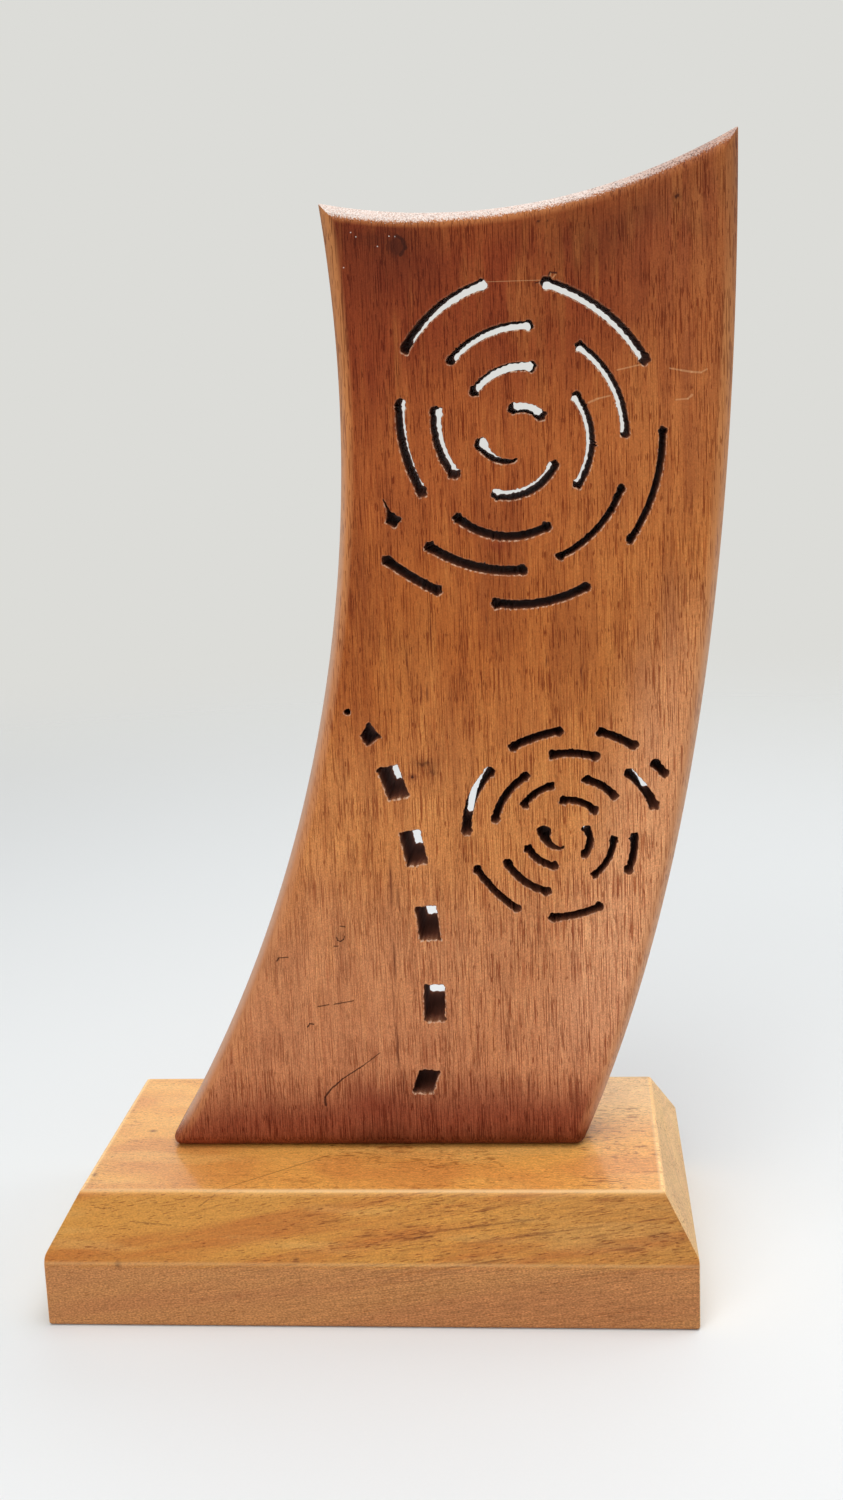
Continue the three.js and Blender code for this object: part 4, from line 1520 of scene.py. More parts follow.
@dataclass(frozen=True)
class PanelWood:
    """The panel's stained hardwood under a satin finish, with its knots, stains and scratches.

    Heights and places are in millimetres, counted from the panel's foot.
    """

    slot: str = "panel_wood"
    foot: float = 45
    front: float = -17
    lit_depth: float = 5
    roughness: float = 0.42
    specular: float = 0.16
    relief_depth: float = 0.12
    top_edge: tuple[Pair, Pair, float] = ((-5.9, 338.8), (133.8, 356.5), 12.2)
    grain_deep: Triple = (0.71, 0.51, 0.44)
    grain_light: Triple = (1.23, 1.31, 1.3)
    pore_share: Triple = (0.46, 0.26, 0.18)
    smoke: Triple = (0.74, 0.66, 0.64)
    # The colour by height is partly the wood's tone and partly painted light: painted shade darkens the top
    # and the foot, and painted sheen from the floor makes the lower part paler.
    tone_and_light_by_height: tuple[tuple[float, str], ...] = (
        (0, "6b3623"), (12, "8e4b33"), (36, "c6845b"), (75, "ca885c"), (120, "cc854c"), (185, "b1642e"),
        (255, "a95b2d"), (305, "873d1f"), (340, "6b2e18"),
    )
    warm: str = "cc8648"
    red: str = "6b2a18"
    gold: str = "c98748"
    dark: str = "3a160c"
    pore: str = "3c190b"
    # edge and low_edge colour the rounded rims, lighter partly from wear and partly as a painted highlight;
    # outer is a painted highlight along their outermost strip.
    edge: str = "d8935a"
    low_edge: str = "d29468"
    outer: str = "f4dcc8"
    side: str = "ecaf86"
    # A pale colour for end-grain specks and for the painted highlight along the top edge.
    end_grain: str = "e9dcd4"
    strip: str = "a45a2c"
    # cut and wall colour the cut walls near the face and deeper in; the darker wall colour is painted shade.
    cut: str = "7e4d33"
    wall: str = "784634"
    # The cuts' pale lips: torn fibres, partly a painted highlight.
    lip_and_highlight: str = "d3aa8d"
    stain: str = "7a2c1a"
    scratch: str = "dda878"
    grain_line: str = "561f10"

    WANDER = Pattern((1.1, 1.1, 1.6), 3, 5)
    DRIFT = Pattern((1.3, 1.3, 2.0), 3, 9)
    BEND = Pattern((6, 6, 9), 1, 35)
    UNEVEN = Pattern((35, 35, 70), 2, 2)
    MOTTLE = Pattern((12, 16, 36), 3, 1)
    BANDS = Pattern((5, 9, 110), 2, 28)
    SMOKE = Pattern((9, 14, 15), 2, 44)
    FIBRE = Pattern((0.32, 0.7, 15), 2, 3)
    LINES = Pattern((1.5, 3, 70), 2, 4)
    LIVELY = Pattern((13, 16, 55), 1, 33)
    SPARSE = Pattern((6, 9, 30), 2, 17)
    SHORT_PORES = Pattern((0.36, 0.8, 4.5), 0.5, 6)
    LONG_PORES = Pattern((0.36, 0.8, 15), 0.5, 26)
    DUST = Pattern((0.45, 0.45, 0.6), 1, 46)
    SPECKLE = Pattern((0.5, 0.5, 0.5), 2, 7)
    END_GRAINS = Pattern((0.5, 0.5, 0.5), 1, 27)
    PITS = Pattern((0.7, 0.7, 0.7), 1, 8)
    TORN = Pattern((0.6, 0.6, 0.6), 2, 10)
    MARK_DEPTH = 8
    SPECK_RADII = (0.34, 0.3)
    KNOT_HALO = (2.2, 3)
    KNOTS = (
        ((20.4, 323.2), (4.4, 4.8), 0.72), ((12.0, 326.0), (9.0, 3.2), 0.3),
        ((14.0, 189.0), (13.0, 8.0), 0.11), ((18.6, 141.6), (1.0, 0.8), 0.9),
        ((22.6, 146.4), (3.6, 1.2), 0.6), ((26.0, 143.6), (2.0, 1.6), 0.5),
        ((-9.5, 83.6), (3.2, 2.4), 0.16), ((-34.6, 75.1), (2.6, 3.4), 0.12),
        ((113.4, 334.8), (1.1, 1.2), 0.9), ((67.8, 328.8), (0.6, 0.6), 0.8),
        ((71.0, 328.8), (0.5, 0.5), 0.7), ((120.0, 325.0), (7.0, 4.5), 0.16),
        ((103.0, 330.0), (8.0, 3.5), 0.1),
    )
    STAINS = (
        ((43.7, 228.4), (6, 4), 0.5), ((51.1, 223.0), (7, 3.5), 0.5), ((18.4, 141.9), (4, 2), 0.5),
        # The last two lie on the foot and add to its darkening, partly stain and partly painted shade.
        ((-2.0, 18.5), (16, 8), 0.34), ((-7.0, 25.5), (8, 5), 0.2),
    )
    GRAIN = (
        ((9.2, 103.0), (0.9, 14.0), 0.8), ((11.6, 97.0), (0.6, 9.0), 0.6),
        ((9.4, 73.0), (0.8, 13.0), 0.75), ((8.2, 58.0), (0.6, 8.0), 0.6), ((9.0, 40.0), (0.9, 14.0), 0.8),
        ((10.6, 27.0), (0.6, 8.0), 0.6), ((6.4, 22.0), (0.6, 8.0), 0.6), ((22.8, 171.7), (0.6, 6.0), 0.8),
        ((25.0, 172.1), (0.6, 4.5), 0.8), ((18.3, 183.0), (0.6, 6.5), 0.6),
        ((67.2, 182.4), (0.6, 4.5), 0.8), ((79.3, 178.0), (0.6, 6.5), 0.7),
        ((26.9, 194.0), (0.6, 8.5), 0.6), ((46.8, 197.0), (0.5, 4.0), 0.6),
        ((56.9, 26.0), (0.6, 8.0), 0.7), ((66.0, 309.5), (0.6, 4.0), 0.7),
    )
    DARK_STROKES = (
        Scratch(
            (0.32, 0.4, 0.45, 0.5, 0.6),
            (2.4, 38.0), (-4.3, 32.9), (-12.0, 27.9), (-16.9, 23.5), (-19.0, 20.6), (-18.8, 17.4),
        ),
        Scratch((0.4, 0.4), (-24.0, 48.3), (-23.2, 49.6), (-21.6, 49.3)),
        Scratch((0.34,), (-13.8, 57.0), (-6.4, 58.3)), Scratch((0.34,), (-19.7, 56.2), (-15.6, 56.9)),
        Scratch((0.34,), (-33.0, 75.1), (-29.8, 75.3)), Scratch((0.4,), (-34.0, 73.9), (-33.4, 75.0)),
        Scratch(
            (0.42, 0.34, 0.42, 0.34),
            (-11.6, 82.6), (-11.2, 81.5), (-10.2, 81.1), (-8.9, 81.9), (-8.6, 83.1),
        ),
        Scratch((0.36,), (-10.1, 86.9), (-8.2, 86.6)), Scratch((0.36,), (-12.6, 79.3), (-11.2, 79.3)),
        Scratch((0.5, 0.45), (70.4, 310.2), (71.4, 312.6), (73.4, 312.3)),
        Scratch((0.3,), (66.4, 309.4), (69.8, 310.2)), Scratch((0.8,), (20.8, 326.6), (22.6, 325.4)),
        Scratch((0.9,), (22.8, 325.0), (23.4, 322.6)), Scratch((0.8,), (23.2, 322.4), (21.8, 320.4)),
    )
    SPECKS = ((18.2, 326.6), (20.2, 326.4), (7.1, 326.9), (5.4, 328.4), (2.5, 317.2), (14.2, 323.5))
    LIGHT_STROKES = (
        Scratch((0.35,), (93.0, 280.0), (101.6, 281.6)),
        Scratch(
            (0.4, 0.5, 0.5, 0.4),
            (110.5, 279.9), (114.2, 279.1), (117.8, 278.4), (120.8, 278.1), (122.8, 279.1),
        ),
        Scratch((0.5, 0.4), (83.3, 269.7), (86.5, 270.9), (90.6, 271.7)),
        Scratch((0.4, 0.55), (112.5, 269.5), (116.5, 269.7), (117.8, 270.9)),
        Scratch((0.2,), (48.0, 310.5), (69.7, 310.2)), Scratch((0.4,), (71.0, 310.6), (71.6, 312.2)),
        Scratch((0.35,), (72.2, 310.8), (73.2, 311.8)),
    )

    def _at(self, spot: Pair) -> Triple:
        """A mark's place in the scene, on the front face."""
        return spot[0], self.front, spot[1] + self.foot

    def _spot(self, place: Value, centre: Pair, radii: Pair) -> Value:
        """A soft ellipse on the front face, as deep as every mark."""
        return place.graph.blob(place, self._at(centre), (radii[0], self.MARK_DEPTH, radii[1]))

    def _marks(self, graph: Graph, place: Value, colour: Value) -> Value:
        """Lays the knots, stains and scratches over the colour.

        Args:
            graph: The material's nodes.
            place: The place on the panel.
            colour: The wood's colour.

        Returns:
            The marked colour.
        """
        wander = graph.noise(place, self.WANDER) - 0.5
        drift = graph.noise(place, self.DRIFT) - 0.5
        ragged = graph.moved(place, X=wander * 2.4, Z=drift * 2.8)
        fine = graph.moved(place, X=wander * 0.9)
        bent = graph.moved(place, X=(graph.noise(place, self.BEND) - 0.5) * 2)
        for centre, radii, strength in self.STAINS:
            colour = graph.mix(self._spot(ragged, centre, radii) * strength, colour, self.stain)
        for centre, (wide, tall), strength in self.KNOTS:
            halo = self._spot(ragged, centre, (wide * self.KNOT_HALO[0], tall * self.KNOT_HALO[1]))
            knot = (halo * 0.4 + self._spot(ragged, centre, (wide, tall))).clamped()
            colour = graph.mix(knot * strength, colour, self.dark)
        for centre in self.SPECKS:
            colour = graph.mix(self._spot(place, centre, self.SPECK_RADII), colour, self.end_grain)
        for centre, radii, strength in self.GRAIN:
            colour = graph.mix(self._spot(bent, centre, radii) * strength, colour, self.grain_line)
        for strokes, code, strength in (
            (self.DARK_STROKES, self.dark, 0.9),
            (self.LIGHT_STROKES, self.scratch, 0.4),
        ):
            for stroke in strokes:
                for start, end, half in stroke.runs():
                    line = graph.stroke(fine, self._at(start), self._at(end), half)
                    colour = graph.mix(line * strength, colour, code)
        return colour

    def _figure(self, graph: Graph, place: Value) -> tuple[Value, Value, Value]:
        """Lays the wood's broad colours first, then its bands and stains, and its fibre and pores last.

        Args:
            graph: The material's nodes.
            place: The place on the panel.

        Returns:
            The wood's colour, its fine fibre and its pores.
        """
        x, height = place.part("X"), place.part("Z") - self.foot
        uneven = graph.noise(place, self.UNEVEN) - 0.5
        outer_foot = 1 - x.smooth(-45, 0)
        colour = graph.ramp(height + uneven * (20 + height * 0.2) + outer_foot * 4, self.tone_and_light_by_height)
        across = (x - height * 0.35 + uneven * 60).smooth(-40, 70)
        raised = height.smooth(20, 200)
        low_down = 1 - height.smooth(70, 200)
        dark_end = height.smooth(250, 310) + 1 - height.smooth(8, 40)
        colour = graph.mix(across * raised * 0.52, colour, self.warm)
        colour = graph.mix((1 - across) * raised * 0.08, colour, self.red)
        mottle = graph.noise(place, self.MOTTLE)
        bands = graph.noise(place, self.BANDS)
        colour = graph.mix((1 - mottle.smooth(0.3, 0.52)) * (0.3 - low_down * 0.2), colour, self.red)
        colour = graph.mix((1 - bands.smooth(0.36, 0.52)) * (0.2 - low_down * 0.08), colour, self.red)
        golden = (bands * 0.5 + mottle * 0.5).smooth(0.5, 0.66) * height.smooth(10, 50)
        colour = graph.mix(golden * 0.18, colour, self.gold)
        beside = (x - height * 0.25).smooth(40, 70) * (1 - height.smooth(140, 230)) * height.smooth(15, 60)
        far = x.smooth(80, 120) * height.smooth(200, 280)
        colour = graph.mix((beside * 0.45).most(far * 0.03), colour, self.side)
        colour = graph.mix(self._under_top_edge(x, height) * 0.28, colour, self.strip)
        left = 1 - (x + height * 0.3).smooth(5, 60)
        smoky = graph.noise(place, self.SMOKE).smooth(0.48, 0.66)
        smoky = smoky * height.smooth(12, 40) * (1 - height.smooth(130, 190))
        colour = graph.mix(smoky * (0.15 + left * 0.3), colour, colour.vector("MULTIPLY", self.smoke))
        fibre = graph.noise(place, self.FIBRE)
        lines = graph.noise(place, self.LINES)
        lively = 0.55 + 0.75 * graph.noise(place, self.LIVELY).smooth(0.4, 0.6)
        calm = left * height.smooth(20, 50) * low_down
        strength = lively * (2.2 + low_down * 0.5 - calm * 1.2 + (1 - height.smooth(15, 45)) * 0.6)
        grain = 0.6 + (fibre - 0.5) * strength + (lines - 0.5) * 0.7
        deep, light = (colour.vector("MULTIPLY", share) for share in (self.grain_deep, self.grain_light))
        colour = graph.mix(grain.clamped(), deep, light)
        sparse = graph.noise(place, self.SPARSE) - 0.5
        short = graph.noise(place, self.SHORT_PORES) + sparse * 0.3 + dark_end * 0.01
        long = graph.noise(place, self.LONG_PORES) + sparse * 0.25 + (low_down - 1) * 0.03
        pores = short.smooth(0.65, 0.69).most(long.smooth(0.6, 0.65))
        colour = graph.mix(pores * (0.85 - calm * 0.35), colour, colour.vector("MULTIPLY", self.pore_share))
        dust = graph.noise(place, self.DUST) - 0.5
        colour = graph.scaled(colour, 1 + dust * (0.6 + low_down * 0.25))
        return colour, fibre, pores

    def _under_top_edge(self, x: Value, height: Value) -> Value:
        """How far a place lies in the orange-brown strip under the hollow top edge, whose height is a
        parabola through the two tips.

        Args:
            x: The place across.
            height: The height over the panel's foot.

        Returns:
            1 along the edge, falling to 0 below it and beside the left tip.
        """
        (left, left_height), (right, right_height), hollow = self.top_edge
        share = (x - left) * (1 / (right - left))
        edge = left_height + share * (right_height - left_height) - share * (1 - share) * (4 * hollow)
        return (1 - (edge - height).smooth(5, 17)) * x.smooth(12, 42)

    def make(self) -> bpy.types.Material:
        """Makes the finish: the marked wood, its rims lightened partly by wear and partly as a painted
        highlight, a painted highlight over the top edge's end grain, and the cuts' torn lips and walls, with
        a painted highlight on the lips and painted shade deeper in the walls.
        """
        graph = Graph(bpy.data.materials.new(self.slot))
        place = graph.place()
        colour, fibre, pores = self._figure(graph, place)
        colour = self._marks(graph, place, colour)
        above = place.part("Z").smooth(self.foot + 4, self.foot + 16)
        speckle = graph.noise(place, self.SPECKLE)
        x, height = place.part("X"), place.part("Z") - self.foot
        # Painted highlight on the top edge: where the rim faces up, an orange-brown strip and above it a
        # pale speckled band with dark pores light up the end grain as if it caught the light from above;
        # brown holds back the rim and strip colours towards the right.
        upper = graph.painted(Paint.END)
        brown = upper.smooth(0, 0.2) * x.smooth(50, 110) * 0.75
        # The rounded rims are lightened, partly for wear and partly as a painted highlight, and their
        # outermost strip is a painted highlight of light from behind.
        rounded = graph.painted(Paint.ROUND)
        y = place.part("Y")
        turned = y.most(y * -1).smooth(8, 13)
        rim = rounded.smooth(0.05, 0.5) * above * (1 - brown) * (0.6 + turned * 0.4)
        low = 1 - height.smooth(150, 260)
        edge = graph.mix(low, self.edge, self.low_edge)
        tip = x.smooth(100, 125) * height.smooth(290, 330)
        colour = graph.mix(rim * (0.6 + low * 0.12 - pores * 0.35 - tip * 0.32), colour, edge)
        rim_highlight = rounded.smooth(0.45, 1) * above * (0.15 + turned * 0.85)
        rim_highlight = rim_highlight * (1 - height.smooth(170, 310) * 0.9)
        rightmost = (x - height * 0.22).smooth(0, 60)
        colour = graph.mix(rim_highlight * (0.62 - rightmost * 0.26), colour, self.outer)
        orange = upper.smooth(0, 0.25) * (1 - pores * 0.5) * (1 - brown)
        colour = graph.mix(orange * 0.35, colour, self.strip)
        leftmost = (1 - x.smooth(15, 45)) * height.smooth(240, 300)
        end = (upper + (speckle - 0.5) * 0.6 + leftmost * 0.14).smooth(0.46, 0.65)
        paler = 1 - 0.55 * x.smooth(70, 125)
        grains = graph.noise(place, self.END_GRAINS).smooth(0.4, 0.56)
        colour = graph.mix(end * paler * (0.6 + 0.38 * grains), colour, self.end_grain)
        pits = graph.noise(place, self.PITS).smooth(0.58, 0.66)
        colour = graph.mix(end * pits * (0.35 + 0.4 * x.smooth(40, 110)), colour, self.pore)
        # The cuts' pale lips: torn fibres, with a painted highlight stronger on their lower edges.
        torn = graph.painted(Paint.LIP_AND_HIGHLIGHT) * 1.3 * graph.noise(place, self.TORN).smooth(0.32, 0.55)
        colour = graph.mix(torn.clamped(), colour, self.lip_and_highlight)
        relief = fibre * 0.4 - pores * 0.6 + speckle * (0.08 + end * 0.3)
        # Painted shade: the cut walls darken a little over lit_depth from the face.
        deep = y.smooth(self.front, self.front + self.lit_depth)
        hidden = graph.painted(Paint.WALL) * (1 - torn.clamped())
        colour = graph.mix(hidden, colour, graph.mix(deep, self.cut, self.wall))
        return graph.ended(graph.principled({
            "Base Color": colour,
            "Roughness": self.roughness + fibre * 0.12 + (rim * 0.3).most(hidden * 0.53),
            "Specular IOR Level": self.specular,
        }, relief, self.relief_depth))


@dataclass(frozen=True)
class PlinthWood:
    """The plinth's honey-coloured wood, its grain along X, under a glossier varnish."""

    slot: str = "plinth_wood"
    honey: str = "e29e48"
    amber: str = "cf8038"
    light: str = "efbb6c"
    pale: str = "f3cf98"
    front: str = "bd8250"
    brown: str = "a86b46"
    streak: str = "94501c"
    dash: str = "5a2c12"
    dash_share: Triple = (0.5, 0.36, 0.28)
    bevel_foot: float = 24
    top: float = 45
    rise: float = 8.5
    pith: Triple = (0, 16, -62)
    roughness: float = 0.42
    specular: float = 0.2
    coat: float = 0.24
    coat_roughness: float = 0.14
    relief_depth: float = 0.06

    UNEVEN = Pattern((30, 4, 2), 2, 13)
    BROAD = Pattern((110, 26, 8), 3, 11)
    BRIGHT = Pattern((45, 12, 5), 2, 12)
    STREAKED = Pattern((40, 14, 9), 2, 18)
    STREAKS = Pattern((38, 1.6, 1.0), 1, 14)
    FIBRE = Pattern((9, 0.7, 0.45), 2, 15)
    GRIT = Pattern((0.8, 0.6, 0.5), 1, 36)
    DASHES = Pattern((3.2, 0.5, 0.34), 0.5, 16)
    FLECKS = Pattern((1.4, 0.5, 0.3), 0.5, 37)
    WANDER = Pattern((1.2, 1.2, 1.2), 2, 19)
    RINGS = Pattern((1.5, 1.0, 1.0), 1, 45)
    KNOTS = (
        ((-89.5, -0.7, 45.0), (2.4, 1.8, 3.0), 0.75),
        ((-102.1, -38.6, 45.0), (1.8, 2.4, 3.0), 0.8),
        ((-99.6, -23.6, 45.0), (0.9, 0.9, 3.0), 0.5),
        ((-24.6, -65.0, 25.5), (2.0, 3.0, 1.4), 0.7),
        ((-88.1, -65.0, 23.7), (1.6, 3.0, 2.6), 0.7),
        ((62.0, -60.0, 33.0), (7.0, 4.0, 3.0), 0.25),
    )
    STROKES = (
        ((-17.5, -22.0, 45.0), (-54.2, -51.0, 45.0), 0.35, 0.55),
        ((-54.8, -51.8, 43.8), (-60.0, -53.9, 40.6), 0.35, 0.5),
        ((-98.0, -54.0, 40.0), (-91.0, -54.2, 39.6), 0.45, 0.6),
        ((-84.0, -57.0, 36.0), (-70.0, -57.6, 35.0), 0.4, 0.4),
        ((20.0, -59.0, 33.0), (64.0, -56.0, 37.6), 0.45, 0.4),
        ((34.0, -61.0, 30.0), (82.0, -57.5, 35.2), 0.45, 0.35),
        ((108.0, -20.0, 36.0), (111.5, -26.0, 29.0), 0.35, 0.5),
        ((107.0, -34.0, 38.0), (111.0, -40.0, 30.5), 0.35, 0.5),
        ((109.5, 2.0, 33.0), (112.0, -3.0, 28.0), 0.3, 0.45),
    )

    def make(self) -> bpy.types.Material:
        """Makes the finish: honey above and brown below the bevels, with streaks, dashes, marks, and painted
        light and shade.

        Returns:
            The material.
        """
        graph = Graph(bpy.data.materials.new(self.slot))
        place = graph.place()
        x, y, z = (place.part(axis) for axis in "XYZ")
        turn = (0.0, math.radians(self.rise), 0.0)
        tilt = graph.add("Mapping", {}, {"Vector": place, "Rotation": turn})
        busy = x.smooth(-90, 20)
        uneven = (graph.noise(tilt, self.UNEVEN) - 0.5) * 3
        below = 1 - (z + uneven).smooth(self.bevel_foot - 2, self.bevel_foot + 1)
        broad = graph.noise(tilt, self.BROAD)
        colour = graph.mix(broad.smooth(0.38, 0.62), self.honey, self.amber)
        bright = graph.noise(place, self.BRIGHT)
        level = z.smooth(self.top - 1.6, self.top)
        # The top face is lightened as painted light, over lighter patches that are the wood's own.
        bright = bright.smooth(0.5, 0.7) * (0.3 - below * 0.2) + level * 0.24
        colour = graph.mix(bright, colour, self.light)
        # The upright faces below the bevels are a pinker brown, browner low down: partly painted sheen from
        # the floor, partly painted shade.
        front_shade_and_sheen = graph.mix((1 - z.smooth(6, 22)) * 0.3 + (broad - 0.5) * 0.5, self.front, self.brown)
        colour = graph.mix(below * 0.85, colour, front_shade_and_sheen)
        # Painted reflection: the top is paled a little towards its ends, and the top and bevels towards the
        # back right, where the varnish mirrors the pale background.
        sides = level * x.most(x * -1).smooth(45, 100) * 0.05
        back_right_sheen = y.smooth(-25, 40) * x.smooth(0, 95) * (1 - below)
        # The end bevels are paled partly as end grain and partly as painted sheen; the rings on them are
        # grain.
        end = graph.painted(Paint.END).smooth(0.6, 0.9)
        colour = graph.mix(sides.most(back_right_sheen * 0.7).most(end * 0.65), colour, self.pale)
        where = graph.noise(tilt, self.STREAKED)
        streaks = graph.noise(tilt, self.STREAKS).smooth(0.56, 0.72) * where.smooth(0.42, 0.6)
        colour = graph.mix(streaks * (0.25 + busy * 0.45) * (1 - below * 0.6), colour, self.streak)
        fibre = graph.noise(tilt, self.FIBRE)
        grit = graph.noise(place, self.GRIT)
        reach = place.vector("MULTIPLY", (0.0, 1.0, 1.0)).vector("SUBTRACT", self.pith).length() + broad * 6
        rings = graph.noise(graph.add("CombineXYZ", {}, {"X": reach}), self.RINGS) - 0.5
        shade = (1 + (fibre - 0.5) * (0.35 + busy * 0.5)) * (1 + (grit - 0.5) * (0.7 + below * 0.7))
        shade = shade + end * rings * 0.55
        right = x.smooth(20, 110) * (1 - level) * (1 - below) * (1 - end)
        colour = graph.mix(right * 0.25, colour, self.brown)
        # Painted light: each face gets its own brightness, the bevels darkest, the top lightest, and the
        # upright faces, the back right and the ends lighter than the bevels.
        face = 0.72 + level * 0.3 + below * 0.2 + back_right_sheen * 0.12 + end * 0.17 - right * 0.02
        colour = graph.scaled(colour, shade * face)
        dashes = graph.noise(tilt, self.DASHES) + (where - 0.5) * 0.3 + (busy - level * 1.5) * 0.015
        flecks = graph.noise(tilt, self.FLECKS).smooth(0.66, 0.7) * below * 0.6
        dashes = (dashes.smooth(0.665, 0.7) * (1 - below * 0.4)).most(flecks) * (1 - end)
        colour = graph.mix(dashes * 0.8, colour, colour.vector("MULTIPLY", self.dash_share))
        colour = self._marks(graph, place, colour)
        # The arrises are lightened partly for wear and partly as a painted highlight, most on the top arris
        # and towards the right.
        upper = z.smooth(36, 43) * (0.25 + 0.3 * x.smooth(-80, -20))
        arris = graph.painted(Paint.ROUND) * (0.2 + upper) * (1 - end)
        colour = graph.mix(arris, colour, self.pale)
        # Painted shade: the lowest 1.3 mm or so is darkened where the plinth meets the floor.
        colour = graph.scaled(colour, 0.65 + 0.35 * z.smooth(0.1, 1.3))
        relief = fibre * 0.4 - dashes * 0.6
        return graph.ended(graph.principled({
            "Base Color": colour,
            "Roughness": self.roughness + fibre * 0.1 + end * 0.2,
            "Specular IOR Level": self.specular,
            "Coat Weight": (self.coat - below * 0.17) * (1 - end * 0.6),
            "Coat Roughness": self.coat_roughness,
        }, relief, self.relief_depth))

    def _marks(self, graph: Graph, place: Value, colour: Value) -> Value:
        """Lays the small knots and the scratches over the colour.

        Args:
            graph: The material's nodes.
            place: The place on the plinth.
            colour: The wood's colour.

        Returns:
            The marked colour.
        """
        wander = graph.noise(place, self.WANDER) - 0.5
        ragged = graph.moved(place, X=wander * 1.6, Y=wander * 1.2)
        for centre, radii, strength in self.KNOTS:
            colour = graph.mix(graph.blob(ragged, centre, radii) * strength, colour, self.dash)
        for start, end, half, strength in self.STROKES:
            colour = graph.mix(graph.stroke(ragged, start, end, half) * strength, colour, self.dash)
        return colour


@dataclass(frozen=True)
class ZincSteel:
    """The screws' bright zinc plating, a little clouded."""

    slot: str = "screw_steel"
    bright: str = "c9cacb"
    clouded: str = "9a9c9f"

    CLOUD = Pattern((3, 3, 3), 4, 21)

    def make(self) -> bpy.types.Material:
        """The finished material."""
        graph = Graph(bpy.data.materials.new(self.slot))
        cloud = graph.noise(graph.place(), self.CLOUD)
        return graph.ended(graph.principled({
            "Base Color": graph.mix(cloud.smooth(0.3, 0.7), self.bright, self.clouded),
            "Metallic": 1.0,
            "Roughness": 0.25 + cloud * 0.2,
        }, cloud, 0.01))


@dataclass(frozen=True)
class DowelWood:
    """The dowels' pale beech, its flecks along the pin."""

    slot: str = "dowel_wood"
    pale: str = "d9b78a"
    fleck: str = "b58a5c"

    FLECK = Pattern((0.5, 0.5, 3), 2, 31)

    def make(self) -> bpy.types.Material:
        """The finished material."""
        graph = Graph(bpy.data.materials.new(self.slot))
        fleck = graph.noise(graph.place(), self.FLECK)
        return graph.ended(graph.principled({
            "Base Color": graph.mix(fleck.smooth(0.5, 0.7), self.pale, self.fleck),
            "Roughness": 0.65 + fleck * 0.1,
        }, fleck, 0.05))


# The studio


@dataclass(frozen=True)
class Softbox:
    """A rectangular lamp: where it hangs and what it faces, in metres, its two sides and its power in watts.

    A lamp that isn't mirrored lights the part without showing in its varnish.
    """

    name: str
    place: Triple
    aim: Triple
    sides: Pair
    power: float
    mirrored: bool = True


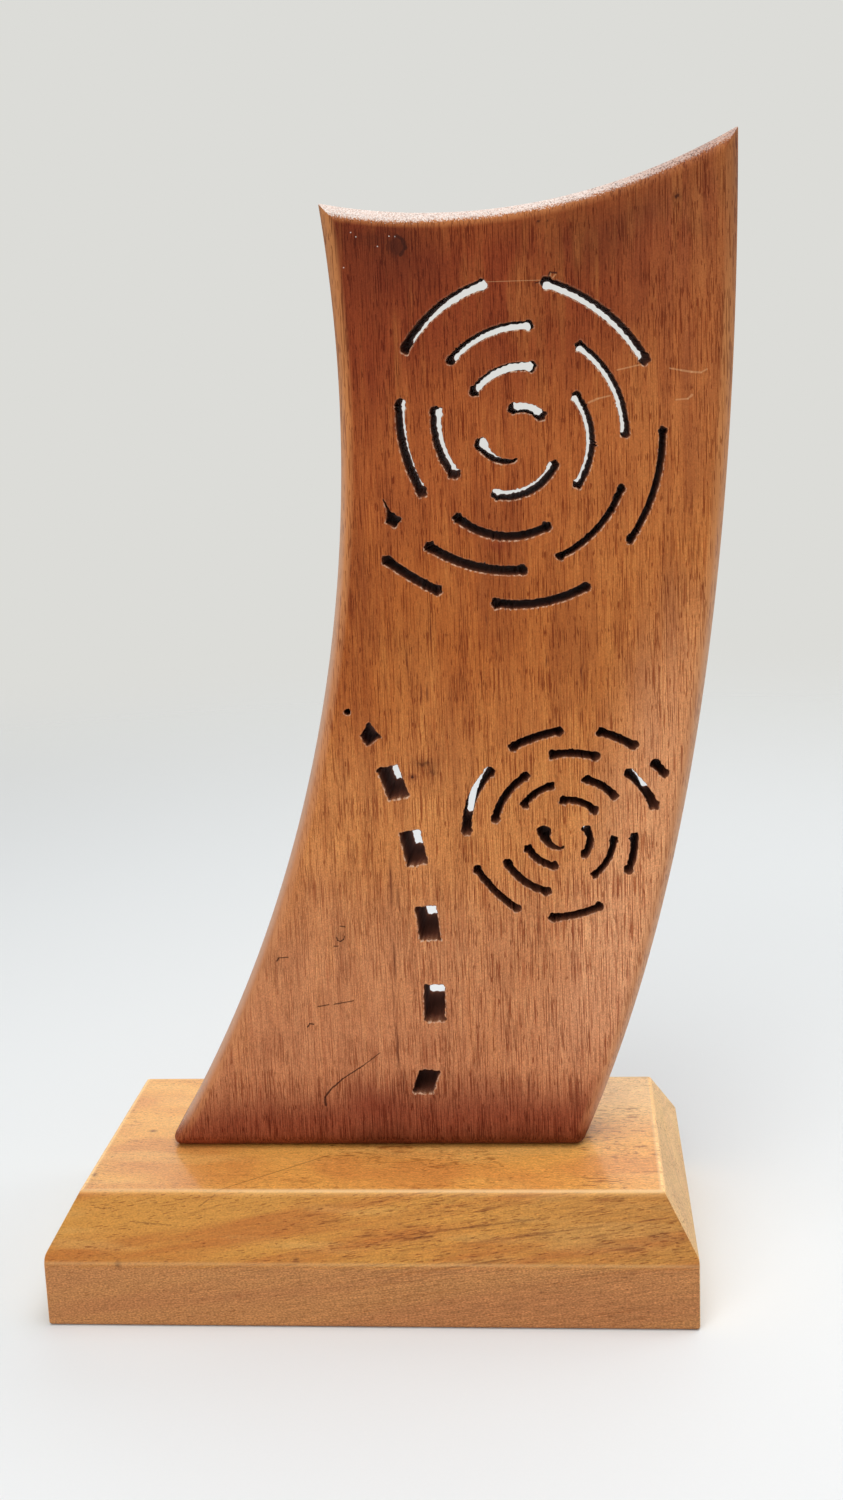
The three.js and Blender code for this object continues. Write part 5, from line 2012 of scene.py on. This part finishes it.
@dataclass(frozen=True)
class Studio:
    """A pale floor that fades into the background, soft lamps, and the camera at the photo's angle.

    The room's colour is that of the unseen light all round, and the cloth's two are the floor's.
    """

    background: str = "dcdcd8"
    room: str = "6c6c6c"
    cloth: str = "eceff0"
    shaded: str = "c8c8c4"

    PHOTO_SIZE = (843, 1500)
    FOCAL_PIXELS = 1686.8
    SENSOR = 36
    CAMERA_PLACE = (74.70, -599.30, 316.63)
    PITCH, YAW, ROLL = 0.2025, -0.0899, 0.0400
    FLOOR_SIDE = 6.0
    FLOOR_GAP = 0.0001
    FLOOR_FADE = (0.5, 1.6)
    NEAREST_SEEN = 0.01
    NAP = Pattern((0.9, 0.9, 0.9), 2, 41)
    LAMPS = (
        Softbox("overhead", (0.2, -0.15, 1.5), (0.0, 0.0, 0.1), (1.4, 1.0), 15),
        Softbox("right", (1.4, 0.6, 0.8), (0.0, 0.0, 0.15), (0.9, 0.9), 5),
        Softbox("behind", (0.1, 1.6, 0.7), (0.0, 0.0, 0.25), (2.6, 1.4), 11),
        Softbox("front", (-0.5, -1.5, 1.05), (0.0, -0.1, 0.15), (1.3, 1.3), 17, mirrored=False),
    )

    def _floor(self) -> bpy.types.Object:
        """Lays a flat square of cloth under the plinth, its far parts fading out.

        Returns:
            The floor.
        """
        mesh = bpy.data.meshes.new("floor")
        half = self.FLOOR_SIDE / 2
        low = -self.FLOOR_GAP
        corners = [(-half, -half, low), (half, -half, low), (half, half, low), (-half, half, low)]
        mesh.from_pydata(corners, [], [(0, 1, 2, 3)])
        floor = bpy.data.objects.new("floor", mesh)
        bpy.context.scene.collection.objects.link(floor)
        graph = Graph(bpy.data.materials.new("studio_cloth"))
        place = graph.place()
        cloth = graph.add("BsdfPrincipled", {}, {
            "Base Color": graph.mix(graph.noise(place, self.NAP) * 0.06, self.cloth, self.shaded),
            "Roughness": 0.9,
            "Specular IOR Level": 0.2,
        })
        clear = graph.add("BsdfTransparent")
        faded = (place.length() * MM).smooth(*self.FLOOR_FADE)
        surface = graph.add("MixShader", {}, {0: faded, 1: cloth, 2: clear})
        mesh.materials.append(graph.ended(surface))
        return floor

    def _world(self) -> None:
        """The room's dim light, behind a background that the camera, gloss and glass see as pale."""
        graph = Graph(bpy.data.worlds.new("room"))
        seen, room = (
            graph.add("Background", {}, {"Color": linear(code)})
            for code in (self.background, self.room)
        )
        shown = graph.add("LightPath", output="Is Camera Ray")
        for ray in ("Is Glossy Ray", "Is Transmission Ray"):
            shown = shown.most(graph.add("LightPath", output=ray))
        light = graph.add("MixShader", {}, {0: shown, 1: room, 2: seen})
        bpy.context.scene.world = graph.ended(light)

    def _lamp(self, box: Softbox) -> None:
        """Hangs a softbox that faces its aim and isn't itself seen."""
        light = bpy.data.lights.new(box.name, "AREA")
        light.shape = "RECTANGLE"
        light.size, light.size_y = box.sides
        light.energy = box.power
        lamp = bpy.data.objects.new(box.name, light)
        facing = np.array(box.aim) - np.array(box.place)
        lamp.matrix_world = Matrix.Translation(box.place) @ self._facing(facing)
        lamp.visible_camera = False
        lamp.visible_glossy = box.mirrored
        bpy.context.scene.collection.objects.link(lamp)

    @staticmethod
    def _facing(way: Array, right: Array | None = None) -> Matrix:
        """The turn that points an object's -Z along a way.

        Args:
            way: The way that it faces.
            right: Its X, square to the way; where it is left out, X lies level.

        Returns:
            The turn.
        """
        forward = way / np.linalg.norm(way)
        if right is None:
            right = np.cross(forward, [0.0, 0.0, 1.0])
            right /= np.linalg.norm(right)
        up = np.cross(right, forward)
        return Matrix(np.column_stack([right, up, -forward]).tolist()).to_4x4()

    def _camera(self) -> None:
        """Sets the camera by its turns: the yaw about the upright, then the pitch down, then the roll."""
        forward = np.array([
            math.sin(self.YAW) * math.cos(self.PITCH),
            math.cos(self.YAW) * math.cos(self.PITCH),
            -math.sin(self.PITCH),
        ])
        level = np.array([math.cos(self.YAW), -math.sin(self.YAW), 0])
        down = np.cross(forward, level)
        right = math.cos(self.ROLL) * level + math.sin(self.ROLL) * down
        data = bpy.data.cameras.new("camera")
        data.sensor_width = self.SENSOR
        data.lens = self.FOCAL_PIXELS / max(self.PHOTO_SIZE) * self.SENSOR
        data.clip_start = self.NEAREST_SEEN
        camera = bpy.data.objects.new("camera", data)
        place = [part * MM for part in self.CAMERA_PLACE]
        camera.matrix_world = Matrix.Translation(place) @ self._facing(forward, right)
        bpy.context.scene.collection.objects.link(camera)
        bpy.context.scene.camera = camera

    def build(self) -> None:
        """Lays the floor, hangs the lamps and sets the camera and the plain view."""
        self._floor()
        self._world()
        for box in self.LAMPS:
            self._lamp(box)
        self._camera()
        bpy.context.scene.view_settings.view_transform = "Standard"


# Everything in its order


def install(piece: bpy.types.Object, finish: bpy.types.Material, node: str) -> None:
    """Dresses a piece, joins it to the frame in a CAD node's stead, and reports it.

    Args:
        piece: The piece, at rest.
        finish: Its material.
        node: The CAD node that the piece replaces.
    """
    piece.data.materials.append(finish)
    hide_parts(node)
    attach(piece, "root")
    log.info("%s: %d points, %d faces", piece.name, len(piece.data.vertices), len(piece.data.polygons))


def main() -> None:
    """Builds every piece in order."""
    logging.basicConfig(level=logging.INFO, format="%(name)s: %(message)s")
    panel_wood, plinth_wood = PanelWood(), PlinthWood()
    zinc, beech = ZincSteel(), DowelWood()
    install(Plinth().build(), plinth_wood.make(), Plinth.NODE)
    install(CarvedPanel().build(), panel_wood.make(), CarvedPanel.NODE)
    fixings = Fixings()
    steel, pin = zinc.make(), beech.make()
    for side in ("left", "right"):
        install(fixings.build_screw(side), steel, f"panel_screw_{side}")
        install(fixings.build_dowel(side), pin, f"foot_dowel_{side}")
    Studio().build()


if __name__ == "__main__":
    main()
